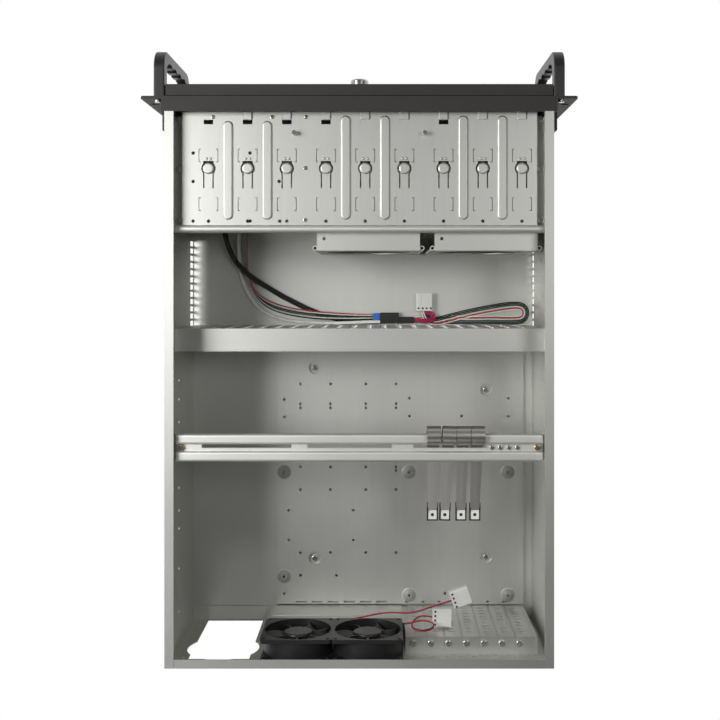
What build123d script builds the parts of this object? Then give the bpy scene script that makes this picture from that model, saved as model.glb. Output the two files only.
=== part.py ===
"""Empty rackmount server case, four rack units high, lid off.

Front faces -Y, rear faces +Y, +Z is up. The origin is the middle of the footprint, on the
underside of the floor sheet. Millimetres.
"""

import math
import os

from build123d import *

# Sheet stock, fits, and how far a cutting shape runs past the faces it cuts
sheet = 1.2
thin_sheet = 0.9
seat_gap = 0.3
slide_gap = 0.15
hole_fit = 0.2
past = 1.0

# Screws
screw_r = 1.7
screw_head_r = 4.0
small_head_r = 3.6
screw_head = 2.2

# Rear wall across, from the -X side: card recess, connector recess, supply opening
recess_side = 12.0
slot_side = 14.88
slot_count = 7
slot_pitch = 20.32
split_side = 14.2
io_width = 158.75
io_side = 5.25
fan_side = 4.0
psu_gap = 13.0
psu_width = 69.0
psu_side = 21.0

# Rear wall upwards: connector recess, rear fans, rim
io_low = 2.8
io_height = 44.45
io_lip = 1.2
io_frame = 2.0
io_top = 82.0
fan_lift = 6.0
fan_headroom = 8.0
slot_top = 130.0
slot_sill = 8.0
slot_open_width = 12.1
recess_depth = 18.8
rear_rim_width = 9.8
rear_foot = 17.4
rear_head = 2.0
psu_low = 3.5
psu_below = 28.0
psu_bulge = 7.0
psu_bore_below = 66.0

# Body along its depth, from the front: drive cage, mid wall, board tray, recess
mid_wall_back = 243.0
tray_gap = 31.0
tray_length = 318.7
tray_rear_gap = 1.4
rim_width = 10.0
rim_lip = 4.0

# Front frame, door, ears and handles
frame_depth = 16.7
frame_beside = 3.5
frame_over = 1.0
frame_return = 7.0
frame_bottom_return = 6.0
door_beside = 4.5
door_thickness = 12.3
door_gap = 1.2
door_foot = 0.5
door_top_gap = 3.0
door_rail = 13.0
hinge_pin_r = 2.0
hinge_fit = 0.05
hinge_pin_depth = 9.0
lug_gap = 0.5
lock_drop = 17.0
lock_flange_r = 10.0
lock_body_r = 8.0
lock_plug_r = 5.5
lock_proud = 7.0
lock_cam_reach = 9.0
lock_cam_width = 7.0
key_width = 2.2
key_height = 6.5
ear_reach = 22.8
ear_plate = 3.0
ear_leg = 4.0
ear_leg_back = 34.0
ear_hole_set = 14.05
ear_hole_rise = 101.6
ear_slot_length = 10.0
ear_slot_width = 6.8
handle_reach = 52.3
handle_width = 12.0
handle_beside = 2.5
handle_low = 20.0
handle_bar = 13.0
handle_foot = 16.0
handle_corner = 20.0
handle_screw_side = 3.0
groove_count = 4
groove_r = 16.0
groove_cut = 2.2

# Drive cage
bay_pitch = 43.8
tab_shift = -6.3
cage_side_room = 15.3
cage_below = 16.0
cage_foot = 8.4
cage_rear = 124.9
cage_floor_over = 9.0
ledge_drop = 10.0
bar_width = 8.0
bar_rise = 5.0
bar_drop = 12.0
bar_behind = 0.3
bead_width = 11.0
bead_rise = 2.2
bead_round = 2.0
tab_head_r = 6.5
tab_ring_r = 8.0
tab_neck = 9.0
tab_slot = 11.8
tab_length = 22.0
tab_dome = 2.4

# Fan brackets that hang behind the cage
bracket_width = 116.0
bracket_side_gap = 13.4
bracket_gap = 16.6
bracket_drop = 10.0
bracket_depth = 18.5
bracket_front_gap = 1.3
bracket_bore = 104.0
bracket_hole_span = 105.0
bracket_curl_r = 2.8
bracket_curl_bore = 1.7
bracket_ridge_pitch = 22.0

# Mid wall
mid_wall_top = 125.0
mid_flange = 25.0
mid_lip = 9.0
mid_foot = 10.0
mid_slot_pitch = 18.2
mid_slot_width = 9.6
mid_slot_height = 32.0
mid_slot_gap = 5.0
mid_slot_below = 12.0

# Board tray
tray_side_right = 0.3
tray_side_left = 4.5
tray_top = 6.0
post_height = 3.0
post_base_r = 9.0
post_top_r = 3.4
post_hole_r = 1.5
board_set = 4.68
board_columns = (281.94, 124.46, 0.0)
board_rear_gap = 33.3
board_row = 154.94

# Card brackets
cover_width = 18.4
cover_low = 8.0
cover_tab = 11.4
cover_screw_side = 5.7
cover_screw_back = 6.7
cover_vent_pitch = 11.6
cover_vent_length = 9.0
cover_vent_width = 3.6
cover_vent_low = 12.0
cover_vent_high = 10.0

# Rear fans
fan_size = 80.0
fan_depth = 27.8
fan_flange = 4.5
fan_barrel = 1.6
fan_wall = 2.0
fan_hole_edge = 4.25
fan_hole_r = 2.2
fan_edge = 0.8
hub_r = 16.5
hub_base_r = 16.0
blade_tip_gap = 0.8
blade_count = 7
shaft_r = 1.5
shaft_fit = 0.04

# Card hold-down bar and its clamps
hold_set = 242.1
hold_width = 30.6
hold_end_gap = 9.8
hold_below = 16.0
hold_rise = 8.0
hold_rib = 11.4
hold_rib_round = 2.8
hold_groove = 2.0
hold_screw_side = 6.0
clamp_places = (120.0, 103.2, 87.2, 71.2)
clamp_leans = (0.0, -1.5, 0.0, 0.0)
clamp_set = 2.0
clamp_width = 15.4
clamp_strip = 0.8
clamp_r = 10.4
clamp_slope = 18.0
clamp_arm = 98.6
clamp_foot = 11.5
clamp_foot_width = 10.7

# Control strip behind the door
strip_width = 41.8
cover_plate = 2.5
power_below = 30.0
reset_below = 50.0
power_r = 5.9
reset_r = 2.9
button_travel = 1.5
board_back = 11.5
board_plate = 1.6

# Places worked out from the sizes above
io_room = max(io_width + io_side, 2 * fan_size + fan_side)
slots_span = slot_pitch * (slot_count - 1)
body_width = recess_side + slot_side + slots_span + split_side + io_room + psu_gap + psu_width + psu_side
body_height = io_top + fan_lift + fan_size + fan_headroom
body_depth = mid_wall_back + tray_gap + tray_length + tray_rear_gap + thin_sheet + recess_depth + sheet
half_body = body_width / 2
wall_x = half_body - sheet
rim_x = half_body - rim_width
half_frame = half_body + frame_beside
frame_height = body_height + frame_over
half_door = half_frame - door_beside
half_depth = (rear_head + body_depth + frame_depth + handle_reach) / 2
rear_y = half_depth - rear_head
rear_inner = rear_y - sheet
front_y = rear_y - body_depth
frame_y = front_y - frame_depth
door_back = frame_y - door_gap
door_front = door_back - door_thickness
door_r = door_thickness / 2
hinge_y = door_back - door_r
hinge_z = door_foot + door_r
lock_z = frame_height - lock_drop
handle_x = half_frame + handle_beside
cage_half = wall_x - cage_side_room
cage_top_z = body_height - cage_below
cage_low = 2 * sheet + cage_foot
cage_front = frame_y + sheet + seat_gap + hole_fit
cage_back = front_y + cage_rear
cage_floor_back = cage_back + cage_floor_over
cross_y = cage_back + bar_behind
bay_count = int(2 * cage_half / bay_pitch)
bay_x = [bay_pitch * ((bay_count - 1) / 2 - k) for k in range(bay_count)]
tab_x = [x + tab_shift for x in bay_x]
bracket_top = cage_top_z - bracket_drop
mid_wall_y = front_y + mid_wall_back
tray_front = mid_wall_y + tray_gap
slot_face = rear_inner - recess_depth
cover_face = slot_face - thin_sheet
tray_rear = cover_face - tray_rear_gap
recess_right = recess_side - half_body
slot_x = [recess_right + slot_side + slots_span - slot_pitch * k for k in range(slot_count)]
slot_screw_x = [x + cover_screw_side for x in slot_x]
slot_screw_y = slot_face + cover_screw_back
recess_split = slot_x[0] + split_side
recess_left = recess_split + io_room
io_x = (recess_split + recess_left) / 2
io_z = io_low + io_height / 2
psu_x = (recess_left + psu_gap, recess_left + psu_gap + psu_width)
psu_z = (psu_low, body_height - psu_below)
psu_bore_z = body_height - psu_bore_below
tray_left = recess_left - tray_side_left
tray_right = recess_right + tray_side_right
board_rear = rear_y - board_rear_gap
board_x = [slot_x[-1] + board_set + column for column in board_columns]
fan_bore_r = fan_size / 2 - fan_wall
fan_x = [recess_left - fan_edge - fan_size / 2 - fan_size * k for k in (0, 1)]
fan_z = io_top + fan_lift + fan_size / 2
fan_front = rear_inner - fan_depth
hold_y = rear_y - hold_set
hold_front = hold_y - hold_width / 2
hold_back = hold_y + hold_width / 2
hold_low = body_height - hold_below
hold_top = hold_low + hold_rise
hold_half = wall_x - hold_end_gap
hold_screw_x = hold_half - hold_screw_side
hold_groove_z = hold_low + hold_groove
clamp_x = [recess_right + place for place in clamp_places]
clamp_y = hold_front + clamp_set
clamp_z = hold_low + hold_rise / 2
strip_x = bay_x[0]
strip_front = cage_front
strip_back = strip_front + cover_plate
board_front = strip_back + board_back
board_rear_face = board_front + board_plate
power_z = cage_top_z - power_below
reset_z = cage_top_z - reset_below


# Basic shapes
def block(x, y, z):
    """A box between two limits along each axis."""
    size = [abs(v[1] - v[0]) for v in (x, y, z)]
    middle = [(v[1] + v[0]) / 2 for v in (x, y, z)]
    return Pos(*middle) * Box(*size)


def rod(axis, at, r, ends):
    """A round bar along an axis; at is its place on the other two axes, in X, Y, Z order."""
    middle = (ends[0] + ends[1]) / 2
    bar = Cylinder(r, abs(ends[1] - ends[0]))
    if axis == "x":
        return Pos(middle, *at) * Rot(0, 90, 0) * bar
    if axis == "y":
        return Pos(at[0], middle, at[1]) * Rot(90, 0, 0) * bar
    return Pos(*at, middle) * bar


def around(middle, half):
    """The two limits at a distance each side of a middle."""
    return middle - half, middle + half


def dome(x, y, r, low, rise):
    """A round boss along Z with a well rounded top."""
    boss = rod("z", (x, y), r, (low, low + rise))
    return fillet(boss.edges().sort_by(Axis.Z)[-1], rise * 0.8)


def slot_z(x, y, length, width, ends, turn=0.0):
    """A round-ended slot cut along Z, long way along X before it is turned."""
    outline = Pos(x, y, ends[0]) * Rot(0, 0, turn) * SlotOverall(length, width)
    return extrude(outline, amount=ends[1] - ends[0], dir=(0, 0, 1))


def slot_y(x, z, length, width, ends, upright=False):
    """A round-ended slot cut along Y, long way along X, or along Z if upright."""
    place = Plane(origin=(x, ends[0], z), x_dir=(0, 0, 1) if upright else (1, 0, 0), z_dir=(0, 1, 0))
    return extrude(place * SlotOverall(length, width), amount=ends[1] - ends[0], dir=(0, 1, 0))


def pan_screw(x, y, seat, length, r=screw_r, head_r=screw_head_r, head=screw_head):
    """A cross-head pan screw that points down, its head seated at a height."""
    shank = rod("z", (x, y), r, (seat - length, seat))
    top = rod("z", (x, y), head_r, (seat, seat + head))
    top = fillet(top.edges().sort_by(Axis.Z)[-1], head * 0.45)
    half = head_r * 0.55
    arm = head_r * 0.12
    depth = (seat + head * 0.55, seat + head + past)
    cross = block(around(x, half), around(y, arm), depth)
    cross += block(around(x, arm), around(y, half), depth)
    return shank + top - cross


def both_sides(shape):
    """A shape on the +X side and its mirrored copy."""
    return shape, mirror(shape, about=Plane.YZ)


# Body
vent_first = front_y + 139.4
vent_pitch = 9.06
vent_count = 12
vent_width = 6.2
vent_z = (3.0, 22.0)
rail_hole_z = 97.0
rail_hole_back = (303.3, 325.6, 352.7, 429.8, 456.8, 477.8, 524.7, 575.6)
rail_hole_y = [front_y + back for back in rail_hole_back]
rail_hole_r = 2.0


def chassis_tub():
    """Floor, side walls and folded rims, one folded sheet."""
    length = (front_y, rear_inner)
    tub = block((-half_body, half_body), length, (0, sheet))
    for side in (-1, 1):
        tub += block((side * wall_x, side * half_body), length, (0, body_height))
        tub += block((side * rim_x, side * half_body), length, (body_height - sheet, body_height))
        tub += block((side * rim_x, side * (rim_x + sheet)), length, (body_height - rim_lip, body_height))
    across = (-half_body - past, half_body + past)
    cuts = []
    for k in range(vent_count):
        cuts.append(block(across, around(vent_first + vent_pitch * k, vent_width / 2), vent_z))
    cuts += [rod("x", (y, rail_hole_z), rail_hole_r, across) for y in rail_hole_y]
    return tub - cuts


grille_rings = 4
grille_edge = 5.0
grille_pitch = 7.6
grille_slot = 4.6
grille_sweep = 74.0
grille_sweep_step = 8.0
grille_start = 8.0
grille_start_step = 4.0


def fan_grille(x):
    """Curved slots of the finger grille in front of a rear fan."""
    cuts = []
    face = Plane(origin=(x, rear_inner - past, fan_z), x_dir=(1, 0, 0), z_dir=(0, 1, 0))
    for ring in range(grille_rings):
        middle = fan_bore_r - grille_edge - grille_pitch * ring
        for quarter in range(4):
            start = 90 * quarter + grille_start + grille_start_step * ring
            line = CenterArc((0, 0), middle, start, grille_sweep - grille_sweep_step * ring)
            cuts.append(extrude(face * SlotArc(line, grille_slot), amount=sheet + 2 * past, dir=(0, 1, 0)))
    return cuts


def fan_holes(x):
    """The four screw places of one rear fan, as X and Z."""
    half = fan_size / 2 - fan_hole_edge
    return [(x + a * half, fan_z + b * half) for a in (-1, 1) for b in (-1, 1)]


rear_vent_length = 6.4
rear_vent_width = 2.4
rear_vent_pitch = 15.6
rear_vent_side = 8.0
rear_vent_rows = ((5.8, 10, 0.0), (10.0, 9, 0.5))
psu_screw_r = 2.0
psu_screws = (
    (psu_x[0] - 4.0, psu_z[0] + 24.5),
    (psu_x[1] + 6.0, psu_z[0] + 24.5),
    (psu_x[1] + 6.0, psu_z[1] - 6.0),
    (psu_x[0] - 4.0, psu_bore_z - 18.0),
)


def rear_panel():
    """Rear wall with its top rim, foot flange, supply opening, grilles and vents."""
    through = (rear_inner - past, rear_y + past)
    panel = block((-half_body, half_body), (rear_inner, rear_y), (0, body_height))
    rim_half = rim_x - seat_gap
    rim = (rear_y - rear_rim_width, rear_y)
    panel += block((-rim_half, rim_half), rim, (body_height - sheet, body_height))
    foot = (rear_inner - rear_foot, rear_y)
    panel += block((recess_left + seat_gap, wall_x - seat_gap), foot, (sheet, 2 * sheet))
    cuts = [
        block((recess_right + sheet, recess_left - sheet), through, (-past, io_top - sheet)),
        block((recess_right + sheet, recess_split - sheet), through, (-past, slot_top - sheet)),
        block(psu_x, through, psu_z),
        rod("y", (sum(psu_x) / 2, psu_bore_z), psu_width / 2 + psu_bulge, through),
    ]
    cuts += [rod("y", at, psu_screw_r, through) for at in psu_screws]
    for x in fan_x:
        cuts += fan_grille(x)
        cuts += [rod("y", at, fan_hole_r, through) for at in fan_holes(x)]
    for rise, count, step in rear_vent_rows:
        for k in range(count):
            x = recess_split - rear_vent_side - rear_vent_pitch * (k + step)
            cuts.append(slot_y(x, slot_top + rise, rear_vent_length, rear_vent_width, through))
    return panel - cuts


def slot_panel():
    """Recessed wall that holds the connector plate and the card slots, with its ledges."""
    outer = (slot_face, rear_inner)
    wall = (slot_face, slot_face + sheet)
    panel = block((recess_right, recess_left), wall, (sheet, io_top))
    panel += block((recess_right, recess_split), wall, (sheet, slot_top))
    panel += block((recess_split - sheet, recess_left), outer, (io_top - sheet, io_top))
    panel += block((recess_right, recess_split), outer, (slot_top - sheet, slot_top))
    panel += block((recess_split - sheet, recess_split), outer, (io_top - sheet, slot_top))
    panel += block((recess_left - sheet, recess_left), outer, (sheet, io_top))
    panel += block((recess_right, recess_right + sheet), outer, (sheet, slot_top))
    through = (slot_face - past, slot_face + sheet + past)
    cuts = [block(around(io_x, io_width / 2), through, around(io_z, io_height / 2))]
    for x in slot_x:
        open_z = (cover_low + slot_sill, slot_top - slot_sill)
        cuts.append(block(around(x, slot_open_width / 2), through, open_z))
    ledge = (slot_top - sheet - past, slot_top + past)
    cuts += [rod("z", (x, slot_screw_y), screw_r + hole_fit, ledge) for x in slot_screw_x]
    return panel - cuts


def io_plate():
    """Blank plate in the connector opening, with a folded lip above and below."""
    half = io_width / 2 - slide_gap
    tall = io_height / 2 - slide_gap
    plate = block(around(io_x, half), (cover_face, slot_face + sheet), around(io_z, tall))
    well = around(io_x, half - io_frame)
    plate -= block(well, (slot_face, slot_face + sheet + past), around(io_z, tall - io_frame))
    return plate + block(well, (cover_face, slot_face), around(io_z, tall + io_lip))


def slot_cover(x):
    """One blank card bracket with a column of vents and a screwed tab."""
    across = around(x, cover_width / 2)
    cover = block(across, (cover_face, slot_face), (cover_low, slot_top + thin_sheet))
    cover += block(across, (cover_face, slot_face + cover_tab), (slot_top, slot_top + thin_sheet))
    hole = (slot_top - past, slot_top + thin_sheet + past)
    cover -= rod("z", (x + cover_screw_side, slot_screw_y), screw_r + hole_fit, hole)
    through = (cover_face - past, slot_face + past)
    first = cover_low + cover_vent_low
    vents = int((slot_top - cover_vent_high - first) / cover_vent_pitch) + 1
    heights = [first + cover_vent_pitch * k for k in range(vents)]
    return cover - [slot_y(x, z, cover_vent_length, cover_vent_width, through) for z in heights]


slot_screw_length = 7.0
spare_first = 22.0
spare_pitch = 9.5
spare_count = 4
spare_x = [spare_first + spare_pitch * k - hold_screw_x for k in range(spare_count)]
spare_length = 5.0
spare_r = 1.25
spare_head_r = 2.8
spare_head = 1.8


def slot_screws():
    """The screws that hold the card brackets to the ledge, and the spare ones in the hold-down bar."""
    seat = slot_top + thin_sheet
    used = [pan_screw(x, slot_screw_y, seat, slot_screw_length) for x in slot_screw_x]
    seat = hold_groove_z + sheet
    return used + [
        pan_screw(x, hold_y, seat, spare_length, spare_r, spare_head_r, spare_head) for x in spare_x
    ]


# Board tray: places are distances from the first column of board posts and from the rear row
tray_hole_columns = (20.5, 58.3, 102.9, 140.9)
tray_hole_rows = (265.9, 241.0, 235.9, 161.5, 132.9, 53.5)
tray_odd_holes = (
    (20.5, 24.9),
    (66.1, 24.9),
    (0.0, 246.3),
    (0.0, 224.5),
    (5.7, 106.8),
    (87.0, 106.8),
    (5.7, 69.5),
    (87.0, 69.5),
    (157.7, 248.0),
    (157.7, 225.4),
    (223.5, 225.4),
    (282.2, 248.0),
    (282.2, 225.4),
    (140.9, 157.1),
    (202.5, 2.1),
    (0.0, 2.0),
)
tray_small_holes = [(board_x[0] - a, board_rear - d) for a in tray_hole_columns for d in tray_hole_rows]
tray_small_holes += [(board_x[0] - a, board_rear - d) for a, d in tray_odd_holes]
tray_small_r = 1.7
front_dimples = ((38.5, 21.5), (254.5, 49.0))
rear_dimples = ((38.5, 46.0), (254.5, 47.4))
tray_dimples = [(board_x[0] - a, tray_front + d) for a, d in front_dimples]
tray_dimples += [(board_x[0] - a, board_rear - d) for a, d in rear_dimples]
dimple_r = 7.5
short_post_set = 23.7
board_posts = (
    [(x, board_rear - board_row) for x in board_x]
    + [(board_x[1], board_rear), (board_x[2], board_rear), (board_x[0], board_rear - short_post_set)]
)
edge_slot_set = 2.6
edge_slot_width = 2.0
edge_slot_length = 14.5
short_edge_slot = 4.0


def board_tray():
    """Raised board tray: a pressed pan with turned-down edges, posts and screw dimples."""
    span = (tray_right, tray_left)
    length = (tray_front, tray_rear)
    tray = block(span, length, (tray_top - sheet, tray_top))
    for x in (tray_right, tray_left - sheet):
        tray += block((x, x + sheet), length, (sheet, tray_top))
    for y in (tray_front, tray_rear - sheet):
        tray += block(span, (y, y + sheet), (sheet, tray_top))
    through = (tray_top - 2 * sheet, tray_top + past)
    cuts = [rod("z", at, tray_small_r, through) for at in tray_small_holes]
    edge_y = tray_rear - edge_slot_set
    for k in range(1, int((tray_left - recess_split) / slot_pitch)):
        x = tray_left - slot_pitch * (k + 0.5)
        cuts.append(slot_z(x, edge_y, edge_slot_length, edge_slot_width, through))
    for x in slot_x:
        cuts.append(slot_z(x + slot_pitch / 2, edge_y, short_edge_slot, edge_slot_width, through))
    cuts += [rod("z", at, dimple_r, through) for at in tray_dimples]
    tray -= cuts
    for at in tray_dimples:
        cup = rod("z", at, dimple_r + sheet, (sheet, tray_top))
        cup -= rod("z", at, dimple_r, (2 * sheet, tray_top + past))
        tray += cup
        tray -= rod("z", at, screw_r + hole_fit, (0, tray_top))
    for x, y in board_posts:
        tray += Pos(x, y, tray_top + post_height / 2) * Cone(post_base_r, post_top_r, post_height)
    for x, y in board_posts:
        tray -= rod("z", (x, y), post_hole_r, (tray_top - 2 * sheet, tray_top + post_height + past))
        hollow = Cone(post_base_r - sheet, post_top_r - sheet, post_height)
        tray -= Pos(x, y, tray_top - sheet + post_height / 2) * hollow
    return tray


def tray_screws():
    """The screws in the tray's dimples, down to the floor sheet."""
    return [pan_screw(x, y, 2 * sheet, sheet, head_r=small_head_r) for x, y in tray_dimples]


# Drive cage: top plate
long_bead_start = front_y + 2.4
short_bead_start = front_y + 8.5
bead_bays = [k for k in range(bay_count - 1) if k % 3 != 2]
bead_places = [
    (tab_x[k] - bay_pitch / 2, short_bead_start if k < 2 else long_bead_start) for k in bead_bays
]
bead_end = cage_back - 5.9
tab_y = front_y + 61.6
tab_shoulder = 8.4
tab_shoulder_half = 5.8
lug_side = 2.3
lug_r = 1.6
lug_rise = 1.2
lug_set = 11.0
lance_rows = (front_y + 47.1, front_y + 101.5)
lance_length = 15.0
lance_offset = 10.6
lance_cut = 0.7
lance_hook = 2.2
front_slot_y = front_y + 9.7
front_slot_half = (5.3, 2.5)
shut_slots = (4, 5, 7, 8)
shut_depth = 0.5
stop_half = 5.6
stop_rise = 2.0
stop_set = (3.0, 11.0)
hole_r = 1.9
rear_hole_y = cage_back - 4.5
cage_hole_places = (
    (17.1, 44.3),
    (-46.4, 44.3),
    (17.1, 76.0),
    (-78.9, 76.0),
    (17.1, 120.4),
    (-46.4, 120.4),
    (-79.7, 120.4),
)
cage_holes = [(tab_x[0] + across, front_y + back) for across, back in cage_hole_places]
rivet_places = ((-5.2, 4.1), (-71.4, 4.1), (-108.9, 4.1), (-108.5, 61.1), (-108.3, 119.2))
cage_rivets = [(tab_x[0] + across, front_y + back) for across, back in rivet_places]
rivet_r = 1.3
rivet_head_r = 2.4
rivet_rise = 0.9
stud_side = 72.7
stud_back = 22.5
stud_r = 2.4
stud_rise = 9.0


def keyhole(x):
    """The cut round one spring tab of the top plate."""
    outer = Circle(tab_ring_r)
    outer += Pos(0, tab_length / 2) * Rectangle(tab_slot, tab_length)
    outer += Pos(0, -tab_shoulder / 2) * Rectangle(2 * tab_shoulder_half, tab_shoulder)
    inner = Circle(tab_head_r)
    inner += Pos(0, tab_length / 2 + past) * Rectangle(tab_neck, tab_length + 2 * past)
    return extrude(Pos(x, tab_y, cage_top_z - 2 * sheet) * (outer - inner), amount=3 * sheet)


def lance(x, y, side):
    """A bracket-shaped cut beside a bay, where a drive guide is lanced down."""
    height = (cage_top_z - 2 * sheet, cage_top_z + sheet)
    half = lance_length / 2
    cut = block(around(x, lance_cut / 2), around(y, half), height)
    for end in (-1, 1):
        edge = y + end * half
        cut += block((x, x - side * lance_hook), (edge - end * lance_cut, edge), height)
    return cut


def bay_stop(x):
    """The raised stop of one bay, between the front frame and the bay's slot."""
    length = (front_slot_y - stop_set[1], front_slot_y - stop_set[0])
    stop = block(around(x, stop_half), length, (cage_top_z, cage_top_z + stop_rise))
    return chamfer(stop.faces().sort_by(Axis.Z)[-1].edges().filter_by(Axis.Y), stop_rise * 0.7)


def cage_top():
    """Top plate of the drive cage, with spring tabs, drive guides and stiffening beads."""
    low = cage_top_z - sheet
    plate = block((-cage_half, cage_half), (cage_front, cage_back), (low, cage_top_z))
    cuts = []
    for x, start in bead_places:
        length = bead_end - start
        middle = (bead_end + start) / 2
        crown = slot_z(x, middle, length, bead_width, (low, cage_top_z + bead_rise), 90)
        plate += fillet(crown.faces().sort_by(Axis.Z)[-1].edges(), bead_round)
        hollow = (low - past, low + bead_rise)
        cuts.append(slot_z(x, middle, length - 4 * sheet, bead_width - 4 * sheet, hollow, 90))
    through = (low - past, cage_top_z + past)
    for k, x in enumerate(tab_x):
        cuts.append(keyhole(x))
        depth = (cage_top_z - shut_depth, cage_top_z + past) if k in shut_slots else through
        cuts.append(block(around(x, front_slot_half[0]), around(front_slot_y, front_slot_half[1]), depth))
        cuts.append(rod("z", (x, rear_hole_y), hole_r, through))
        for y in lance_rows:
            cuts += [lance(x + side * lance_offset, y, side) for side in (-1, 1)]
    cuts += [rod("z", at, hole_r, through) for at in cage_holes]
    cuts += [rod("z", at, rivet_r, through) for at in cage_rivets]
    plate -= cuts
    for x in tab_x:
        plate += dome(x, tab_y, tab_head_r - hole_fit, cage_top_z, tab_dome)
        for side in (-1, 1):
            plate += dome(x + side * lug_side, tab_y - lug_set, lug_r, cage_top_z, lug_rise)
    for x in tab_x[1:]:
        plate += bay_stop(x)
    return plate


# Drive cage: sides, floor and fasteners
cage_screw_y = [front_y + back for back in (4.1, 61.1, 119.2)]
cage_screw_x = cage_half + 5.0
cage_screw_length = 5.0
side_vent_y = [front_y + back for back in (19.0, 69.0)]
side_vent_z = [cage_top_z - below for below in (120.0, 75.0, 30.0)]
side_vent_length = 18.0
side_vent_width = 3.6
ledge_z = cage_top_z - ledge_drop
ledge_turn = 14.0
ledge_front = front_y + 2.0
floor_slot_length = 14.0
floor_slot_width = 4.0


def cage_side():
    """Side plate of the drive cage with a ledge that is screwed to the body wall, +X side."""
    inner = cage_half - sheet
    outer = wall_x - seat_gap
    side = block((inner, cage_half), (cage_front, cage_back), (cage_low, cage_top_z - sheet))
    side += block((inner, outer), (ledge_front, cage_back), (ledge_z - sheet, ledge_z))
    side += block((outer - sheet, outer), (ledge_front, cage_back), (ledge_z - ledge_turn, ledge_z))
    for z in side_vent_z:
        for y in side_vent_y:
            place = Plane(origin=(inner - past, y, z), x_dir=(0, 1, 0), z_dir=(1, 0, 0))
            vent = place * SlotOverall(side_vent_length, side_vent_width)
            side -= extrude(vent, amount=sheet + 2 * past)
    through = (ledge_z - sheet - past, ledge_z + past)
    return side - [rod("z", (cage_screw_x, y), screw_r + hole_fit, through) for y in cage_screw_y]


def cage_floor():
    """Floor plate of the drive cage, on turned-down feet."""
    plate = block((-cage_half, cage_half), (cage_front, cage_floor_back), (cage_low - sheet, cage_low))
    for x in (-cage_half, -sheet / 2, cage_half - sheet):
        plate += block((x, x + sheet), (ledge_front, cage_floor_back), (sheet, cage_low - sheet / 2))
    through = (cage_low - 2 * sheet, cage_low + past)
    for x in bay_x:
        for y in lance_rows:
            plate -= slot_z(x, y, floor_slot_length, floor_slot_width, through, 90)
    return plate


def cage_screws():
    """Side-ledge screws, and the rivets and standing studs of the top plate."""
    made = []
    for side in (-1, 1):
        for y in cage_screw_y:
            made.append(pan_screw(side * cage_screw_x, y, ledge_z, cage_screw_length))
    for x in (-stud_side, stud_side):
        stud = rod("z", (x, front_y + stud_back), stud_r, (cage_top_z, cage_top_z + stud_rise))
        made.append(chamfer(stud.edges().sort_by(Axis.Z)[-1], stud_r / 3))
    for x, y in cage_rivets:
        rivet = dome(x, y, rivet_head_r, cage_top_z, rivet_rise)
        rivet += rod("z", (x, y), rivet_r, (cage_top_z - sheet, cage_top_z))
        made.append(rivet - rod("z", (x, y), rivet_r / 2, (cage_top_z, cage_top_z + rivet_rise + past)))
    return made


def cross_bar():
    """Round-topped folded bar across the case behind the drive cage."""
    top = cage_top_z + bar_rise
    low = cage_top_z - bar_drop
    r = bar_width / 2
    half = wall_x - seat_gap
    middle = cross_y + r
    bar = block((-half, half), (cross_y, cross_y + bar_width), (low, top - r))
    bar += rod("x", (middle, top - r), r, (-half, half))
    ends = (-half - past, half + past)
    hollow = block(ends, (cross_y + sheet, cross_y + bar_width - sheet), (low - past, top - r))
    return bar - hollow - rod("x", (middle, top - r), r - sheet, ends)


bracket_screw_r = 2.2
bracket_hole_set = (8.0, 6.2)
ridge_half = 8.4
ridge_width = 1.4
ridge_rise = 0.6
curl_overlap = 0.4
curl_below = 2.0


def fan_bracket(left):
    """Sheet bracket behind the cage for a system fan, with curled rear edges."""
    right = left - bracket_width
    front = cross_y + bar_width
    start = front + bracket_front_gap
    back = start + bracket_depth
    box = block((right, left), (front, back), (bracket_top - sheet, bracket_top))
    box += block((right, left), (back - sheet, back), (sheet, bracket_top))
    for x in (right, left - sheet):
        box += block((x, x + sheet), (start, back), (sheet, bracket_top))
    box += block((right, left), (start, back), (sheet, 2 * sheet))
    middle = (left + right) / 2
    centre = (bracket_top + sheet) / 2
    through = (back - sheet - past, back + past)
    half = bracket_hole_span / 2
    cuts = [rod("y", (middle, centre), bracket_bore / 2, through)]
    for a in (-1, 1):
        for b in (-1, 1):
            cuts.append(rod("y", (middle + a * half, centre + b * half), bracket_screw_r, through))
    hole = (left - bracket_hole_set[0], front + bracket_hole_set[1])
    cuts.append(rod("z", hole, hole_r, (bracket_top - sheet - past, bracket_top + past)))
    box -= cuts
    for k in range(-2, 3):
        ridge = around(middle + bracket_ridge_pitch * k, ridge_half)
        box += block(ridge, (back - ridge_width, back), (bracket_top, bracket_top + ridge_rise))
    reach = bracket_curl_r - curl_overlap
    for x in (left + reach, right - reach):
        at = (x, back - bracket_curl_r)
        curl = rod("z", at, bracket_curl_r, (sheet, bracket_top - curl_below))
        box += curl - rod("z", at, bracket_curl_bore, (sheet - past, bracket_top))
    return box


bracket_right = bracket_side_gap - wall_x
bracket_lefts = (bracket_right + 2 * bracket_width + bracket_gap, bracket_right + bracket_width)
mid_end_room = 12.0


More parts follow.
